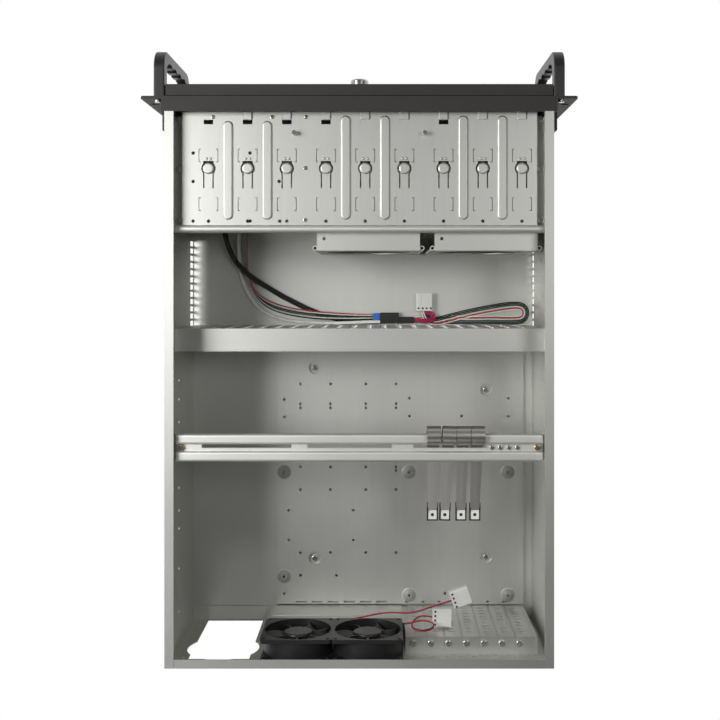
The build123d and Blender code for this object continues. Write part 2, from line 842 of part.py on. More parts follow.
def mid_wall():
    """Vented wall across the case with a wide top flange and a foot flange."""
    half = wall_x - seat_gap
    front = mid_wall_y - sheet
    back = mid_wall_y + mid_flange
    wall = block((-half, half), (front, mid_wall_y), (sheet, mid_wall_top))
    wall += block((-half, half), (front, back), (mid_wall_top - sheet, mid_wall_top))
    wall += block((-half, half), (back - sheet, back), (mid_wall_top - mid_lip, mid_wall_top))
    wall += block((-half, half), (mid_wall_y, mid_wall_y + mid_foot), (sheet, 2 * sheet))
    columns = int((2 * half - 2 * mid_end_room) / mid_slot_pitch)
    rise = mid_slot_height + mid_slot_gap
    rows = int((mid_wall_top - mid_slot_below) / rise)
    through = (front - past, mid_wall_y + past)
    cuts = []
    for k in range(columns):
        x = mid_slot_pitch * (k - (columns - 1) / 2)
        for row in range(rows):
            z = mid_wall_top - mid_slot_below - rise * (row + 0.5)
            cuts.append(slot_y(x, z, mid_slot_height, mid_slot_width, through, upright=True))
    return wall - cuts


# Card hold-down bar
groove_slots = ((144.0 - hold_half, 62.0 - hold_half), (-36.0, 58.0), (hold_half - 128.0, hold_half - 28.0))
groove_slot_width = 4.4
bar_bracket_reach = 14.0
bar_bracket_drop = 24.0
bar_screw_length = 8.0


def hold_down_bar():
    """Two-rib bar across the case that carries the card clamps."""
    ends = (-hold_half, hold_half)
    ribs = ((hold_front, hold_front + hold_rib), (hold_back - hold_rib, hold_back))
    bar = block(ends, (hold_front, hold_back), (hold_groove_z, hold_groove_z + sheet))
    for rib in ribs:
        arch = block(ends, rib, (hold_low, hold_top))
        bar += fillet(arch.faces().sort_by(Axis.Z)[-1].edges().filter_by(Axis.X), hold_rib_round)
    for rib in ribs:
        inside = (rib[0] + sheet, rib[1] - sheet)
        hollow = block((ends[0] - past, ends[1] + past), inside, (hold_low - past, hold_top - sheet))
        bar -= fillet(hollow.faces().sort_by(Axis.Z)[-1].edges().filter_by(Axis.X), hold_rib_round - sheet)
    through = (hold_groove_z - past, hold_groove_z + sheet + past)
    slot_from = ribs[0][1]
    for a, b in groove_slots:
        bar -= block((a, b), (slot_from, slot_from + groove_slot_width), through)
    for side in (-1, 1):
        bar -= rod("z", (side * hold_screw_x, hold_y), screw_r + hole_fit, through)
    return bar - [rod("z", (x, hold_y), spare_r + slide_gap, through) for x in spare_x]


def bar_bracket():
    """Angle that carries one end of the hold-down bar, +X side."""
    outer = wall_x - seat_gap
    y = (hold_front + sheet, hold_back - sheet)
    angle = block((hold_half - bar_bracket_reach, outer), y, (hold_low - sheet, hold_low))
    angle += block((outer - sheet, outer), y, (hold_low - bar_bracket_drop, hold_low))
    through = (hold_low - sheet - past, hold_low + past)
    return angle - rod("z", (hold_screw_x, hold_y), screw_r + hole_fit, through)


def bar_screws():
    """End screws of the hold-down bar."""
    seat = hold_groove_z + sheet
    return [
        pan_screw(side * hold_screw_x, hold_y, seat, bar_screw_length, head_r=small_head_r)
        for side in (-1, 1)
    ]


hook_start = 8.0
arm_neck = 0.7
arm_neck_at = 12.0
arm_bead_side = -1.7
arm_bead_width = 3.0
arm_bead_rise = 1.0
arm_bead_ends = (19.0, 11.0)
foot_hole_r = 2.0
pad_wall = 1.0
pad_back = 8.0
pad_floor = 2.4
pad_rise = 1.2
pad_wing = 3.6


def leaned(shape, x, lean):
    """A clamp's piece turned a little about the upright through its curl."""
    return Pos(x, clamp_y, 0) * Rot(0, 0, lean) * Pos(-x, -clamp_y, 0) * shape


def card_clamp(x):
    """Spring clamp: a strip curled round the front rib, with a long sloping arm and a flat foot."""
    half = clamp_width / 2
    sweep_angle = 270 - clamp_slope - hook_start
    face = Plane(origin=(x - half, clamp_y, clamp_z), x_dir=(0, 1, 0), z_dir=(1, 0, 0))
    outline = face * SlotArc(CenterArc((0, 0), clamp_r, hook_start, sweep_angle), clamp_strip)
    hook = extrude(outline, amount=clamp_width, dir=(1, 0, 0))
    turn = math.radians(270 - clamp_slope)
    origin = (x, clamp_y + clamp_r * math.cos(turn), clamp_z + clamp_r * math.sin(turn))
    slope = math.radians(clamp_slope)
    along = (0, math.cos(slope), -math.sin(slope))
    up = (0, math.sin(slope), math.cos(slope))
    plane = Plane(origin=origin, x_dir=(1, 0, 0), z_dir=up)
    foot_half = clamp_foot_width / 2
    left = [(-half, 0), (arm_neck - half, arm_neck_at), (-foot_half, clamp_arm)]
    right = [(-across, down) for across, down in reversed(left)]
    arm = extrude(plane * make_face(Polyline(*left, *right, close=True)), amount=clamp_strip / 2, both=True)
    bead_length = clamp_arm - sum(arm_bead_ends)
    bead_middle = (clamp_arm + arm_bead_ends[0] - arm_bead_ends[1]) / 2
    bead = Pos(arm_bead_side, bead_middle) * SlotOverall(bead_length, arm_bead_width, rotation=90)
    arm += extrude(plane * bead, amount=clamp_strip / 2 + arm_bead_rise, dir=up)
    end = [origin[i] + along[i] * clamp_arm for i in range(3)]
    length = (end[1] - clamp_strip / 2, end[1] + clamp_foot)
    foot = block(around(x, foot_half), length, around(end[2], clamp_strip / 2))
    foot -= rod("z", (x, end[1] + clamp_foot / 2), foot_hole_r, around(end[2], clamp_strip))
    return hook + arm + foot, end


def clamp_pad(x, end, clamp):
    """Rubber cap round the foot of a clamp, open on top, with a wing up each side of the arm."""
    inner = clamp_foot_width / 2
    outer = inner + pad_wall
    length = (end[1] - pad_back, end[1] + clamp_foot + pad_wall)
    pad = block(around(x, outer), length, (end[2] - pad_floor, end[2] + pad_rise))
    well = (end[1] - pad_back - past, end[1] + clamp_foot - pad_wall / 2)
    pad -= block(around(x, inner - pad_wall / 2), well, (end[2], end[2] + pad_rise + past))
    for side in (-1, 1):
        wing = (x + side * (inner + slide_gap + hole_fit), x + side * outer)
        pad += block(wing, (end[1] - pad_back, end[1] + pad_wall), (end[2], end[2] + pad_wing))
    return pad - clamp


# Front frame, door, lock, ears and handles
lug_front = 1.0
door_vent_pitch = (44.0, 13.0)
door_vent_length = 32.0
door_vent_width = 3.4
door_vent_low = 32.0
door_vent_end = 10.0
lock_clear = 20.0
pin_inset = 1.0
pin_end_gap = 0.5


def front_frame():
    """Folded front frame round the drive bays, with the door's hinge lugs."""
    frame = block((-half_frame, half_frame), (frame_y, front_y), (0, frame_height))
    inside = half_frame - sheet
    frame -= block((-inside, inside), (frame_y + sheet, front_y - sheet), (sheet, frame_height - sheet))
    bay_half = cage_half - sheet
    through = (frame_y - past, front_y + past)
    frame -= block((-bay_half, bay_half), through, (cage_low, cage_top_z - sheet))
    back = (frame_bottom_return, frame_height - frame_return)
    frame -= block((-rim_x, rim_x), (front_y - 2 * sheet, front_y + past), back)
    for side in (-1, 1):
        across = (side * (half_door + lug_gap), side * half_frame)
        frame += block(across, (door_front + lug_front, frame_y), (0, 2 * hinge_z))
    ends = (pin_inset - half_frame, half_frame - pin_inset)
    return frame - rod("x", (hinge_y, hinge_z), hinge_pin_r, ends)


def front_door():
    """Drop-down front door: a folded panel with vents and a solid hinge rail."""
    top = frame_height - door_top_gap
    door = block((-half_door, half_door), (door_front, door_back), (hinge_z, top))
    door += rod("x", (hinge_y, hinge_z), door_r, (-half_door, half_door))
    inside = half_door - sheet
    hollow = (door_front + sheet, door_back + past)
    door -= block((-inside, inside), hollow, (door_foot + door_rail, top - sheet))
    for side in (-1, 1):
        ends = (side * (half_door - hinge_pin_depth), side * (half_door + past))
        door -= rod("x", (hinge_y, hinge_z), hinge_pin_r + hinge_fit, ends)
    through = (door_front - past, door_front + sheet + past)
    door -= rod("y", (0, lock_z), lock_body_r + slide_gap, (door_front - past, door_back + past))
    columns = int((2 * half_door - 2 * door_vent_end) / door_vent_pitch[0])
    rows = int((lock_z - lock_clear - door_vent_low) / door_vent_pitch[1]) + 1
    cuts = []
    for column in range(columns):
        x = door_vent_pitch[0] * (column - (columns - 1) / 2)
        for row in range(rows):
            z = door_vent_low + door_vent_pitch[1] * row
            cuts.append(slot_y(x, z, door_vent_length, door_vent_width, through))
    return door - cuts


def hinge_pins():
    """The two pins of the front door."""
    inner = half_door - hinge_pin_depth + pin_end_gap
    outer = half_frame - pin_inset
    return [rod("x", (hinge_y, hinge_z), hinge_pin_r, (s * inner, s * outer)) for s in (-1, 1)]


lock_round = 2.2
lock_back_gap = 2.5
lock_nut_r = 11.0
lock_nut = 3.0
plug_proud = 0.6
cam_front = 2.2
key_depth = 5.0


def lock_barrel():
    """Lock barrel: domed ring in front of the door, threaded body and nut behind its skin."""
    ring = rod("y", (0, lock_z), lock_flange_r, (door_front - lock_proud, door_front))
    ring = fillet(ring.edges().sort_by(Axis.Y)[0], lock_round)
    barrel = ring + rod("y", (0, lock_z), lock_body_r, (door_front, door_back - lock_back_gap))
    place = Plane(origin=(0, door_front + sheet, lock_z), x_dir=(1, 0, 0), z_dir=(0, 1, 0))
    barrel += extrude(place * RegularPolygon(lock_nut_r, 6), amount=lock_nut, dir=(0, 1, 0))
    bore = (door_front - lock_proud - past, door_back)
    return barrel - rod("y", (0, lock_z), lock_plug_r + hinge_fit, bore)


def lock_plug():
    """Turning plug with its key slot and a short cam behind the barrel."""
    front = door_front - lock_proud - plug_proud
    back = door_back - plug_proud
    plug = rod("y", (0, lock_z), lock_plug_r, (front, back))
    cam = (door_back - cam_front, back)
    plug += block(around(0, lock_cam_width / 2), cam, (lock_z, lock_z + lock_cam_reach))
    slot = (front - past, front + key_depth)
    return plug - block(around(0, key_width / 2), slot, around(lock_z, key_height / 2))


ear_corner = 3.0
ear_leg_room = (26.0, 27.0)
ear_hole_z = around(frame_height / 2, ear_hole_rise / 2)
handle_screw_z = (handle_low + handle_foot / 2, body_height - handle_foot / 2)
handle_screw_x = handle_x + handle_screw_side
handle_screw_r = 2.0
handle_screw_depth = 11.0
handle_screw_head = (3.4, 3.0)
handle_soft = 1.6
groove_room = 14.0
gap_corner = 10.0


def ear():
    """Rack ear: a thick angle beside the frame with two rack slots, +X side."""
    y = (frame_y, frame_y + ear_plate)
    plate = block((half_frame, half_frame + ear_reach), y, (0, frame_height))
    plate = chamfer(plate.edges().filter_by(Axis.Y).group_by(Axis.X)[-1], ear_corner)
    leg_z = (handle_low + ear_leg_room[0], frame_height - ear_leg_room[1])
    angle = plate + block((half_frame, half_frame + ear_leg), (frame_y, frame_y + ear_leg_back), leg_z)
    through = (frame_y - past, frame_y + ear_plate + past)
    for z in ear_hole_z:
        angle -= slot_y(half_frame + ear_hole_set, z, ear_slot_length, ear_slot_width, through)
    for z in handle_screw_z:
        angle -= rod("y", (handle_screw_x, z), handle_screw_r + hole_fit, through)
    return angle


def handle():
    """Moulded carry handle with finger grooves inside its grip, +X side."""
    high = body_height
    tall = high - handle_low
    middle = (handle_low + high) / 2
    inside = handle_reach - handle_bar
    outer = Pos(0, middle) * Rectangle(2 * handle_reach, tall)
    outer = fillet(outer.vertices(), handle_corner)
    gap = Pos(0, middle) * Rectangle(2 * inside, tall - 2 * handle_foot)
    gap = fillet(gap.vertices(), gap_corner)
    front = Pos(-handle_reach, middle) * Rectangle(2 * handle_reach, 2 * high)
    grip = (outer - gap) & front
    pitch = (tall - 2 * handle_foot - groove_room) / groove_count
    for k in range(groove_count):
        centre = middle + pitch * (k - (groove_count - 1) / 2)
        grip -= Pos(groove_r - groove_cut - inside, centre) * Circle(groove_r)
    plane = Plane(origin=(handle_x - handle_width / 2, frame_y, 0), x_dir=(0, 1, 0), z_dir=(1, 0, 0))
    solid = extrude(plane * grip, amount=handle_width, dir=(1, 0, 0))
    edges = solid.faces().filter_by(Axis.X).edges()
    solid = fillet(edges.filter_by(lambda edge: edge.center().Y < frame_y - past), handle_soft)
    hole = (frame_y - handle_screw_depth - past, frame_y + past)
    for z in handle_screw_z:
        solid -= rod("y", (handle_screw_x, z), handle_screw_r + hole_fit / 2, hole)
    return solid


def handle_screws():
    """The screws that hold each handle from behind the ear."""
    screws = []
    seat = frame_y + ear_plate
    head_r, head_depth = handle_screw_head
    for side in (-1, 1):
        for z in handle_screw_z:
            at = (side * handle_screw_x, z)
            head = rod("y", at, head_r, (seat, seat + head_depth))
            head = fillet(head.edges().sort_by(Axis.Y)[-1], head_depth / 3)
            screws.append(head + rod("y", at, handle_screw_r, (frame_y - handle_screw_depth, seat)))
    return screws


# Drive bay fronts and the control strip
skirt_inset = 1.2
skirt_half = 1.0
skirt_depth = 9.0
skirt_room = 20.0
front_bevel = 0.8


def bay_front(x):
    """A blank bay front with side skirts."""
    half = strip_width / 2
    z = (cage_low + seat_gap, cage_top_z - sheet - seat_gap)
    plate = block(around(x, half), (strip_front, strip_back), z)
    plate = chamfer(plate.faces().sort_by(Axis.Y)[0].edges(), front_bevel)
    skirt_z = (z[0] + skirt_room, z[1] - skirt_room)
    for side in (-1, 1):
        skirt = around(x + side * (half - skirt_inset), skirt_half)
        plate += block(skirt, (strip_back, strip_back + skirt_depth), skirt_z)
    return plate


board_half = 15.0
board_z = (cage_low + 21.2, cage_top_z - 14.0)
board_post_z = (board_z[0] + 5.0, board_z[1] - 5.0)
board_post_side = 11.0
board_post_r = 2.8
post_root = 0.5
usb_z = (board_z[0] + 40.0, board_z[0] + 22.0)
usb_width = 13.2
usb_tall = 6.0
usb_wall = 0.6
usb_set = 0.4
usb_depth = 9.0
lamp_side = 11.0
lamp_hole_r = 1.6
switch_half = 3.0
switch_depth = 4.0
header_depth = 5.0
header_half = (4.0, 3.5)
header_places = (
    (strip_x + 6.0, board_z[0] + 10.0),
    (strip_x - 6.0, board_z[0] + 10.0),
    (strip_x - 6.0, board_z[0] + 28.0),
)


def control_panel():
    """Bay front that carries the buttons, lamps and ports, with posts for its board."""
    through = (strip_front - past, strip_back + past)
    panel = bay_front(strip_x)
    cuts = [rod("y", (strip_x, power_z), power_r + slide_gap, through)]
    cuts.append(rod("y", (strip_x, reset_z), reset_r + slide_gap, through))
    for side in (-1, 1):
        cuts.append(rod("y", (strip_x + side * lamp_side, reset_z), lamp_hole_r, through))
    for z in usb_z:
        across = around(strip_x, usb_width / 2 + slide_gap)
        cuts.append(block(across, through, around(z, usb_tall / 2 + slide_gap)))
    panel -= cuts
    for side in (-1, 1):
        for z in board_post_z:
            at = (strip_x + side * board_post_side, z)
            panel += rod("y", at, board_post_r, (strip_back - post_root, board_front))
    return panel


def control_board():
    """Circuit board with its ports, lamps and switches."""
    board = block(around(strip_x, board_half), (board_front, board_rear_face), board_z)
    for z in usb_z:
        port = (strip_front + usb_set, board_front)
        board += block(around(strip_x, usb_width / 2), port, around(z, usb_tall / 2))
        mouth = (z - usb_tall / 2 + usb_wall, z - usb_wall)
        depth = (strip_front, strip_front + usb_depth)
        board -= block(around(strip_x, usb_width / 2 - usb_wall), depth, mouth)
    for side in (-1, 1):
        at = (strip_x + side * lamp_side, reset_z)
        board += rod("y", at, lamp_hole_r - slide_gap, (strip_front + usb_set, board_front))
    for z in (power_z, reset_z):
        switch = (board_front - switch_depth, board_front)
        board += block(around(strip_x, switch_half), switch, around(z, switch_half))
    for x, z in header_places:
        header = (board_rear_face, board_rear_face + header_depth)
        board += block(around(x, header_half[0]), header, around(z, header_half[1]))
    return board


button_proud = 1.0
button_soft = 0.6
button_flange = 1.6
stem_r = 1.8


def push_button(z, r):
    """A button cap with a flange behind the panel and a stem towards its switch."""
    seat = strip_back + hole_fit
    button = rod("y", (strip_x, z), r, (strip_front - button_proud, strip_back + seat_gap))
    button = fillet(button.edges().sort_by(Axis.Y)[0], button_soft)
    button += rod("y", (strip_x, z), r + button_flange, (seat, seat + button_flange))
    stem_end = board_front - switch_depth - button_travel - hole_fit
    return button + rod("y", (strip_x, z), stem_r, (seat + button_flange, stem_end))


# Rear fans
fan_corner = 4.0
strut_gap = 0.6
strut_width = 3.0
strut_depth = 3.6
strut_root = 0.8
shaft_inset = 4.0
rotor_front = 2.0
rotor_back = 5.4
hub_soft = 2.0
hub_wall = 2.0
hub_face = 3.0
boss_wall = 2.5
blade_inset = 1.5
blade_sweep = 44.0
blade_wall = 1.4
blade_bow = 5.0


def fan_frame(x):
    """Square open-flange fan frame with its barrel, rear struts, motor base and shaft."""
    half = fan_size / 2
    through = (fan_front - past, rear_inner + past)
    place = Plane(origin=(x, fan_front, fan_z), x_dir=(1, 0, 0), z_dir=(0, 1, 0))
    square = fillet(Rectangle(fan_size, fan_size).vertices(), fan_corner)
    frame = extrude(place * square, amount=fan_flange, dir=(0, 1, 0))
    frame += Pos(0, fan_depth - fan_flange, 0) * frame
    frame += rod("y", (x, fan_z), fan_bore_r + fan_barrel, (fan_front, rear_inner))
    frame -= rod("y", (x, fan_z), fan_bore_r, through)
    frame -= [rod("y", at, fan_hole_r, through) for at in fan_holes(x)]
    strut_back = rear_inner - strut_gap
    for k in range(4):
        strut = Pos(0, 0, fan_bore_r / 2) * Box(strut_width, strut_depth, fan_bore_r + strut_root)
        frame += Pos(x, strut_back - strut_depth / 2, fan_z) * Rot(0, 45 + 90 * k, 0) * strut
    base = rod("y", (x, fan_z), hub_base_r, (strut_back - strut_depth, strut_back))
    shaft = rod("y", (x, fan_z), shaft_r, (fan_front + shaft_inset, strut_back - past))
    outline = block(around(x, half), (fan_front, rear_inner), around(fan_z, half))
    return (frame + base + shaft) & outline


def fan_rotor(x):
    """Fan rotor: a domed hub cup with swept blades, bored for the shaft."""
    front = fan_front + rotor_front
    back = rear_inner - rotor_back
    hub = rod("y", (x, fan_z), hub_r, (front, back))
    hub = fillet(hub.edges().sort_by(Axis.Y)[0], hub_soft)
    hub -= rod("y", (x, fan_z), hub_r - hub_wall, (front + hub_face, back + past))
    rotor = hub + rod("y", (x, fan_z), shaft_r + boss_wall, (front + past, back - past))
    place = Plane(origin=(x, front + blade_inset, fan_z), x_dir=(1, 0, 0), z_dir=(0, 1, 0))
    outline = blade_outline()
    for k in range(blade_count):
        turned = Rot(0, 0, 360 / blade_count * k) * outline
        rotor += swept_blade(place, turned, back - front - 2 * blade_inset)
    bore = (fan_front + shaft_inset - slide_gap, back + past)
    return rotor - rod("y", (x, fan_z), shaft_r + shaft_fit, bore)


def blade_outline():
    """Thin curved slice of one blade, from inside the hub wall to the tip, seen along the axis."""
    tip = fan_bore_r - blade_tip_gap
    root = hub_r - hub_wall / 2
    line = ThreePointArc((root, 0), ((root + tip) / 2, blade_bow), (tip, 0))
    return SlotArc(line, blade_wall) & Circle(tip)


def swept_blade(place, outline, depth):
    """A pitched blade: a straight-sided solid between the front slice and a turned rear slice."""
    back = place.offset(depth) * (Rot(0, 0, blade_sweep) * outline)
    return loft([place * outline, back], ruled=True)


fan_screw_r = 2.0
fan_screw_depth = 8.0


def fan_screws():
    """Screws through the rear wall into the fans."""
    screws = []
    for x in fan_x:
        for at in fan_holes(x):
            head = rod("y", at, screw_head_r, (rear_y, rear_y + rear_head))
            head = fillet(head.edges().sort_by(Axis.Y)[-1], rear_head * 0.45)
            screws.append(head + rod("y", at, fan_screw_r, (rear_inner - fan_screw_depth, rear_y)))
    return screws


# Leads and their plugs
usb_r = 2.0
grey_r = 1.5
lamp_r = 2.0
loop_r = 1.5
fan_lead_r = 1.2
header_back = board_rear_face + header_depth
usb_route = (
    (header_places[0][0], header_back, header_places[0][1]),
    (header_places[0][0], -258.0, 42.0),
    (180.0, -244.0, 38.0),
    (178.4, -226.0, 28.0),
    (176.6, -204.0, 19.6),
    (175.0, -181.0, 16.2),
    (173.4, -163.0, 16.8),
    (171.8, -149.0, 18.0),
    (169.8, -138.6, 17.6),
    (166.4, -127.6, 13.8),
    (161.8, -117.0, 11.6),
    (154.6, -107.0, 11.8),
    (144.6, -97.4, 11.4),
    (131.6, -87.6, 8.2),
    (116.0, -77.6, 4.6),
    (98.6, -67.2, 3.6),
    (80.2, -58.0, 3.5),
    (61.6, -49.4, 3.6),
    (43.0, -42.4, 3.5),
    (24.6, -38.4, 3.6),
    (6.6, -36.9, 3.4),
    (-9.0, -36.4, 3.5),
    (-22.2, -36.6, 3.4),
)
grey_route = (
    (header_places[1][0], header_back, header_places[1][1]),
    (header_places[1][0], -258.0, 42.0),
    (167.0, -244.0, 36.4),
    (163.4, -226.0, 25.8),
    (160.0, -203.0, 17.8),
    (156.6, -180.0, 15.2),
    (154.2, -162.0, 15.8),
    (153.6, -149.0, 16.8),
    (154.0, -139.4, 16.2),
    (154.8, -128.6, 9.8),
    (155.6, -118.0, 4.8),
    (155.2, -104.0, 3.1),
    (151.4, -88.0, 3.0),
    (142.6, -68.0, 3.1),
    (128.0, -50.6, 3.0),
    (106.0, -40.4, 3.1),
    (80.0, -36.4, 3.0),
    (56.0, -35.2, 3.4),
    (36.0, -34.8, 5.4),
    (18.0, -35.4, 8.2),
    (0.0, -36.2, 8.8),
    (-11.4, -36.7, 8.3),
    (-22.2, -36.6, 8.0),
)
lamp_route = (
    (header_places[2][0], header_back, header_places[2][1]),
    (header_places[2][0], -258.0, 60.0),
    (166.4, -244.0, 53.4),
    (159.4, -224.0, 38.4),
    (151.8, -202.0, 23.4),
    (146.2, -180.0, 17.0),
    (143.2, -162.0, 17.0),
    (142.6, -149.0, 18.2),
    (142.8, -138.8, 17.8),
    (143.4, -127.6, 12.8),
    (144.4, -116.4, 5.8),
    (144.0, -101.0, 3.6),
    (140.4, -83.6, 3.5),
    (131.2, -67.4, 3.6),
    (114.6, -55.8, 3.8),
    (92.0, -49.6, 5.2),
    (71.0, -46.4, 8.6),
    (52.0, -44.6, 10.8),
    (32.0, -43.5, 10.5),
    (10.0, -42.8, 8.0),
    (-13.4, -43.0, 5.8),
)
loop_route = (
    (-65.0, -38.6, 4.2),
    (-75.0, -38.5, 4.0),
    (-92.0, -37.4, 3.1),
    (-114.0, -37.8, 3.0),
    (-140.0, -36.9, 3.1),
    (-164.0, -37.5, 3.0),
    (-180.0, -37.0, 3.1),
    (-190.4, -37.2, 3.2),
    (-201.0, -37.7, 3.6),
    (-206.9, -43.5, 4.4),
    (-206.9, -51.8, 4.8),
    (-201.0, -57.7, 4.4),
    (-190.0, -58.2, 3.7),
    (-176.0, -56.5, 3.2),
    (-158.0, -53.3, 3.0),
    (-140.0, -49.9, 3.1),
    (-122.0, -45.7, 3.3),
    (-105.0, -41.3, 4.6),
    (-91.8, -38.4, 7.1),
    (-84.2, -39.9, 7.2),
    (-79.7, -44.7, 6.8),
    (-78.4, -50.4, 6.4),
)
fan_left_route = (
    (60.0, fan_front + fan_flange / 2, fan_z - fan_size / 2),
    (59.4, 315.0, 83.0),
    (56.0, 316.0, 78.4),
    (49.8, 317.0, 75.2),
    (41.0, 317.6, 74.2),
    (27.0, 317.4, 75.4),
    (12.0, 315.8, 78.6),
    (-2.0, 312.2, 82.8),
    (-14.0, 308.0, 86.8),
    (-27.0, 305.0, 90.2),
    (-41.0, 303.6, 93.4),
    (-55.0, 303.4, 96.4),
    (-68.0, 300.6, 98.8),
    (-81.4, 295.2, 100.4),
    (-94.4, 291.2, 100.6),
    (-106.7, 287.4, 100.4),
)
fan_right_route = (
    (fan_x[1] - fan_size / 2, fan_front + fan_flange / 2, 101.0),
    (-56.6, fan_front + fan_flange / 2, 101.0),
    (-66.0, 311.6, 100.0),
    (-75.6, 310.4, 101.6),
    (-82.6, 310.6, 108.0),
    (-85.6, 311.4, 117.6),
    (-82.0, 312.4, 128.0),
    (-73.0, 313.0, 133.6),
    (-63.4, 312.8, 130.6),
    (-58.6, 311.4, 121.6),
    (-61.0, 308.4, 110.6),
    (-67.6, 305.8, 102.0),
    (-76.0, 305.7, 98.8),
    (-84.0, 307.2, 98.8),
)


def lead(name, route, r):
    """A plain round lead along straight runs with tangent bends, and a note of its radii."""
    points = [Vector(*p) for p in route]
    radii = []
    for before, at, after in zip(points, points[1:], points[2:]):
        run = min((at - before).length, (after - at).length)
        half_turn = math.radians((at - before).get_angle(after - at)) / 2
        radii.append(0.45 * run / math.tan(half_turn))
    path = FilletPolyline(*points, radius=radii)
    start = Plane(origin=points[0], z_dir=points[1] - points[0])
    tube = sweep(start * Circle(r), path=path)
    share = tube.volume / (math.pi * r * r * path.length)
    bends = ", ".join(f"{bend:.1f}" for bend in radii)
    print(f"{name}: {path.length:.0f} mm, tightest {min(radii) / (2 * r):.1f} diameters, volume {share:.4f}")
    print(f"  bend radii {bends}")
    return tube


power_size = (21.0, 22.0, 10.0)
power_bevel = 1.6
power_pin_pitch = 5.08
power_pin_r = 1.8
power_pin_depth = 6.0
plug_bevel = 0.8
plug_rest = 0.2
first_plug = ((-46.0, -22.2), (-48.2, -34.6), 8.2)
second_plug = ((-65.0, -47.0), (-42.8, -34.8), 6.6)
blue_size = (8.4, 8.6, 8.0)
fan_plug_turns = (-70.0, -92.0)


def plug_box(x, y, height):
    """A moulded plug body with softened upright edges, resting just off the floor sheet."""
    low = sheet + plug_rest
    body = block(x, y, (low, low + height))
    return chamfer(body.edges().filter_by(Axis.Z), plug_bevel)


def four_pin_plug(end, turn):
    """A four-way power plug: a flat body with sockets in its front face and its lead in the back."""
    width, length, height = power_size
    body = Box(width, length, height)
    body = chamfer(body.edges().filter_by(Axis.Y).group_by(Axis.Z)[-1], power_bevel)
    for k in range(4):
        socket = Rot(90, 0, 0) * Cylinder(power_pin_r, 2 * power_pin_depth)
        body -= Pos(power_pin_pitch * (k - 1.5), -length / 2, 0) * socket
    return Pos(*end) * Rot(0, 0, turn) * Pos(0, -length / 2, 0) * body


def header_plugs():
    """Black header plugs: one on the thick and the grey lead, one at the start of the looped lead."""
    return [plug_box(*first_plug), plug_box(*second_plug)]


def blue_plug():
    """Blue plug of the lamp and button leads."""
    x, y, z = lamp_route[-1]
    width, depth, height = blue_size
    low = z - height / 2
    body = block((x - width, x), around(y - plug_rest, depth / 2), (low, low + height))
    return chamfer(body.edges().filter_by(Axis.Z), plug_bevel)


# Every piece under its node's name
def pieces():
    ear_right_hand, ear_left_hand = both_sides(ear())
    handle_right_hand, handle_left_hand = both_sides(handle())
    side_right_hand, side_left_hand = both_sides(cage_side())
    angle_right_hand, angle_left_hand = both_sides(bar_bracket())
    made = {
        "chassis_tub": chassis_tub(),
        "rear_panel": rear_panel(),
        "slot_panel": slot_panel(),
        "io_plate": io_plate(),
        "slot_covers": [slot_cover(x) for x in slot_x],
        "slot_screws": slot_screws(),
        "board_tray": board_tray(),
        "tray_screws": tray_screws(),
        "cage_top": cage_top(),
        "cage_side_right": side_right_hand,
        "cage_side_left": side_left_hand,
        "cage_floor": cage_floor(),
        "cage_screws": cage_screws(),
        "cross_bar": cross_bar(),
        "mid_wall": mid_wall(),
        "hold_down_bar": hold_down_bar(),
        "bar_bracket_right": angle_right_hand,
        "bar_bracket_left": angle_left_hand,
        "bar_screws": bar_screws(),
        "front_frame": front_frame(),
        "front_door": front_door(),
        "hinge_pins": hinge_pins(),
        "lock_barrel": lock_barrel(),
        "lock_plug": lock_plug(),
        "ear_right": ear_right_hand,
        "ear_left": ear_left_hand,
        "handle_right": handle_right_hand,
        "handle_left": handle_left_hand,
        "handle_screws": handle_screws(),
        "bay_fronts": [bay_front(x) for x in bay_x[1:]],
        "control_panel": control_panel(),
        "control_board": control_board(),
        "power_button": push_button(power_z, power_r),
        "reset_button": push_button(reset_z, reset_r),
        "fan_screws": fan_screws(),
        "usb_lead": lead("usb_lead", usb_route, usb_r),
        "grey_lead": lead("grey_lead", grey_route, grey_r),
        "lamp_lead": lead("lamp_lead", lamp_route, lamp_r),
        "loop_lead": lead("loop_lead", loop_route, loop_r),
        "fan_lead_1": lead("fan_lead_1", fan_left_route, fan_lead_r),
        "fan_lead_2": lead("fan_lead_2", fan_right_route, fan_lead_r),
        "power_plug": four_pin_plug(loop_route[-1], 0.0),
        "header_plugs": header_plugs(),
        "blue_plug": blue_plug(),
        "fan_plug_1": four_pin_plug(fan_left_route[-1], fan_plug_turns[0]),
        "fan_plug_2": four_pin_plug(fan_right_route[-1], fan_plug_turns[1]),
    }
    for number, left in enumerate(bracket_lefts, start=1):
        made[f"fan_bracket_{number}"] = fan_bracket(left)
    for number, x in enumerate(fan_x, start=1):
        made[f"fan_frame_{number}"] = fan_frame(x)
        made[f"fan_rotor_{number}"] = fan_rotor(x)
    for number, (x, lean) in enumerate(zip(clamp_x, clamp_leans), start=1):
        clamp, end = card_clamp(x)
        made[f"card_clamp_{number}"] = leaned(clamp, x, lean)
        made[f"clamp_pad_{number}"] = leaned(clamp_pad(x, end, clamp), x, lean)
    return made


def main():
    os.makedirs("parts", exist_ok=True)
    for name, shape in pieces().items():
        solid = Compound(children=shape) if isinstance(shape, list) else shape
        export_step(solid, f"parts/{name}.step")


main()
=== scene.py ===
"""Looks of an open rackmount server case: sheet-metal finishes, leads, small fittings and the stage."""

import math

import bmesh
import bpy
from mathutils import Matrix, Vector


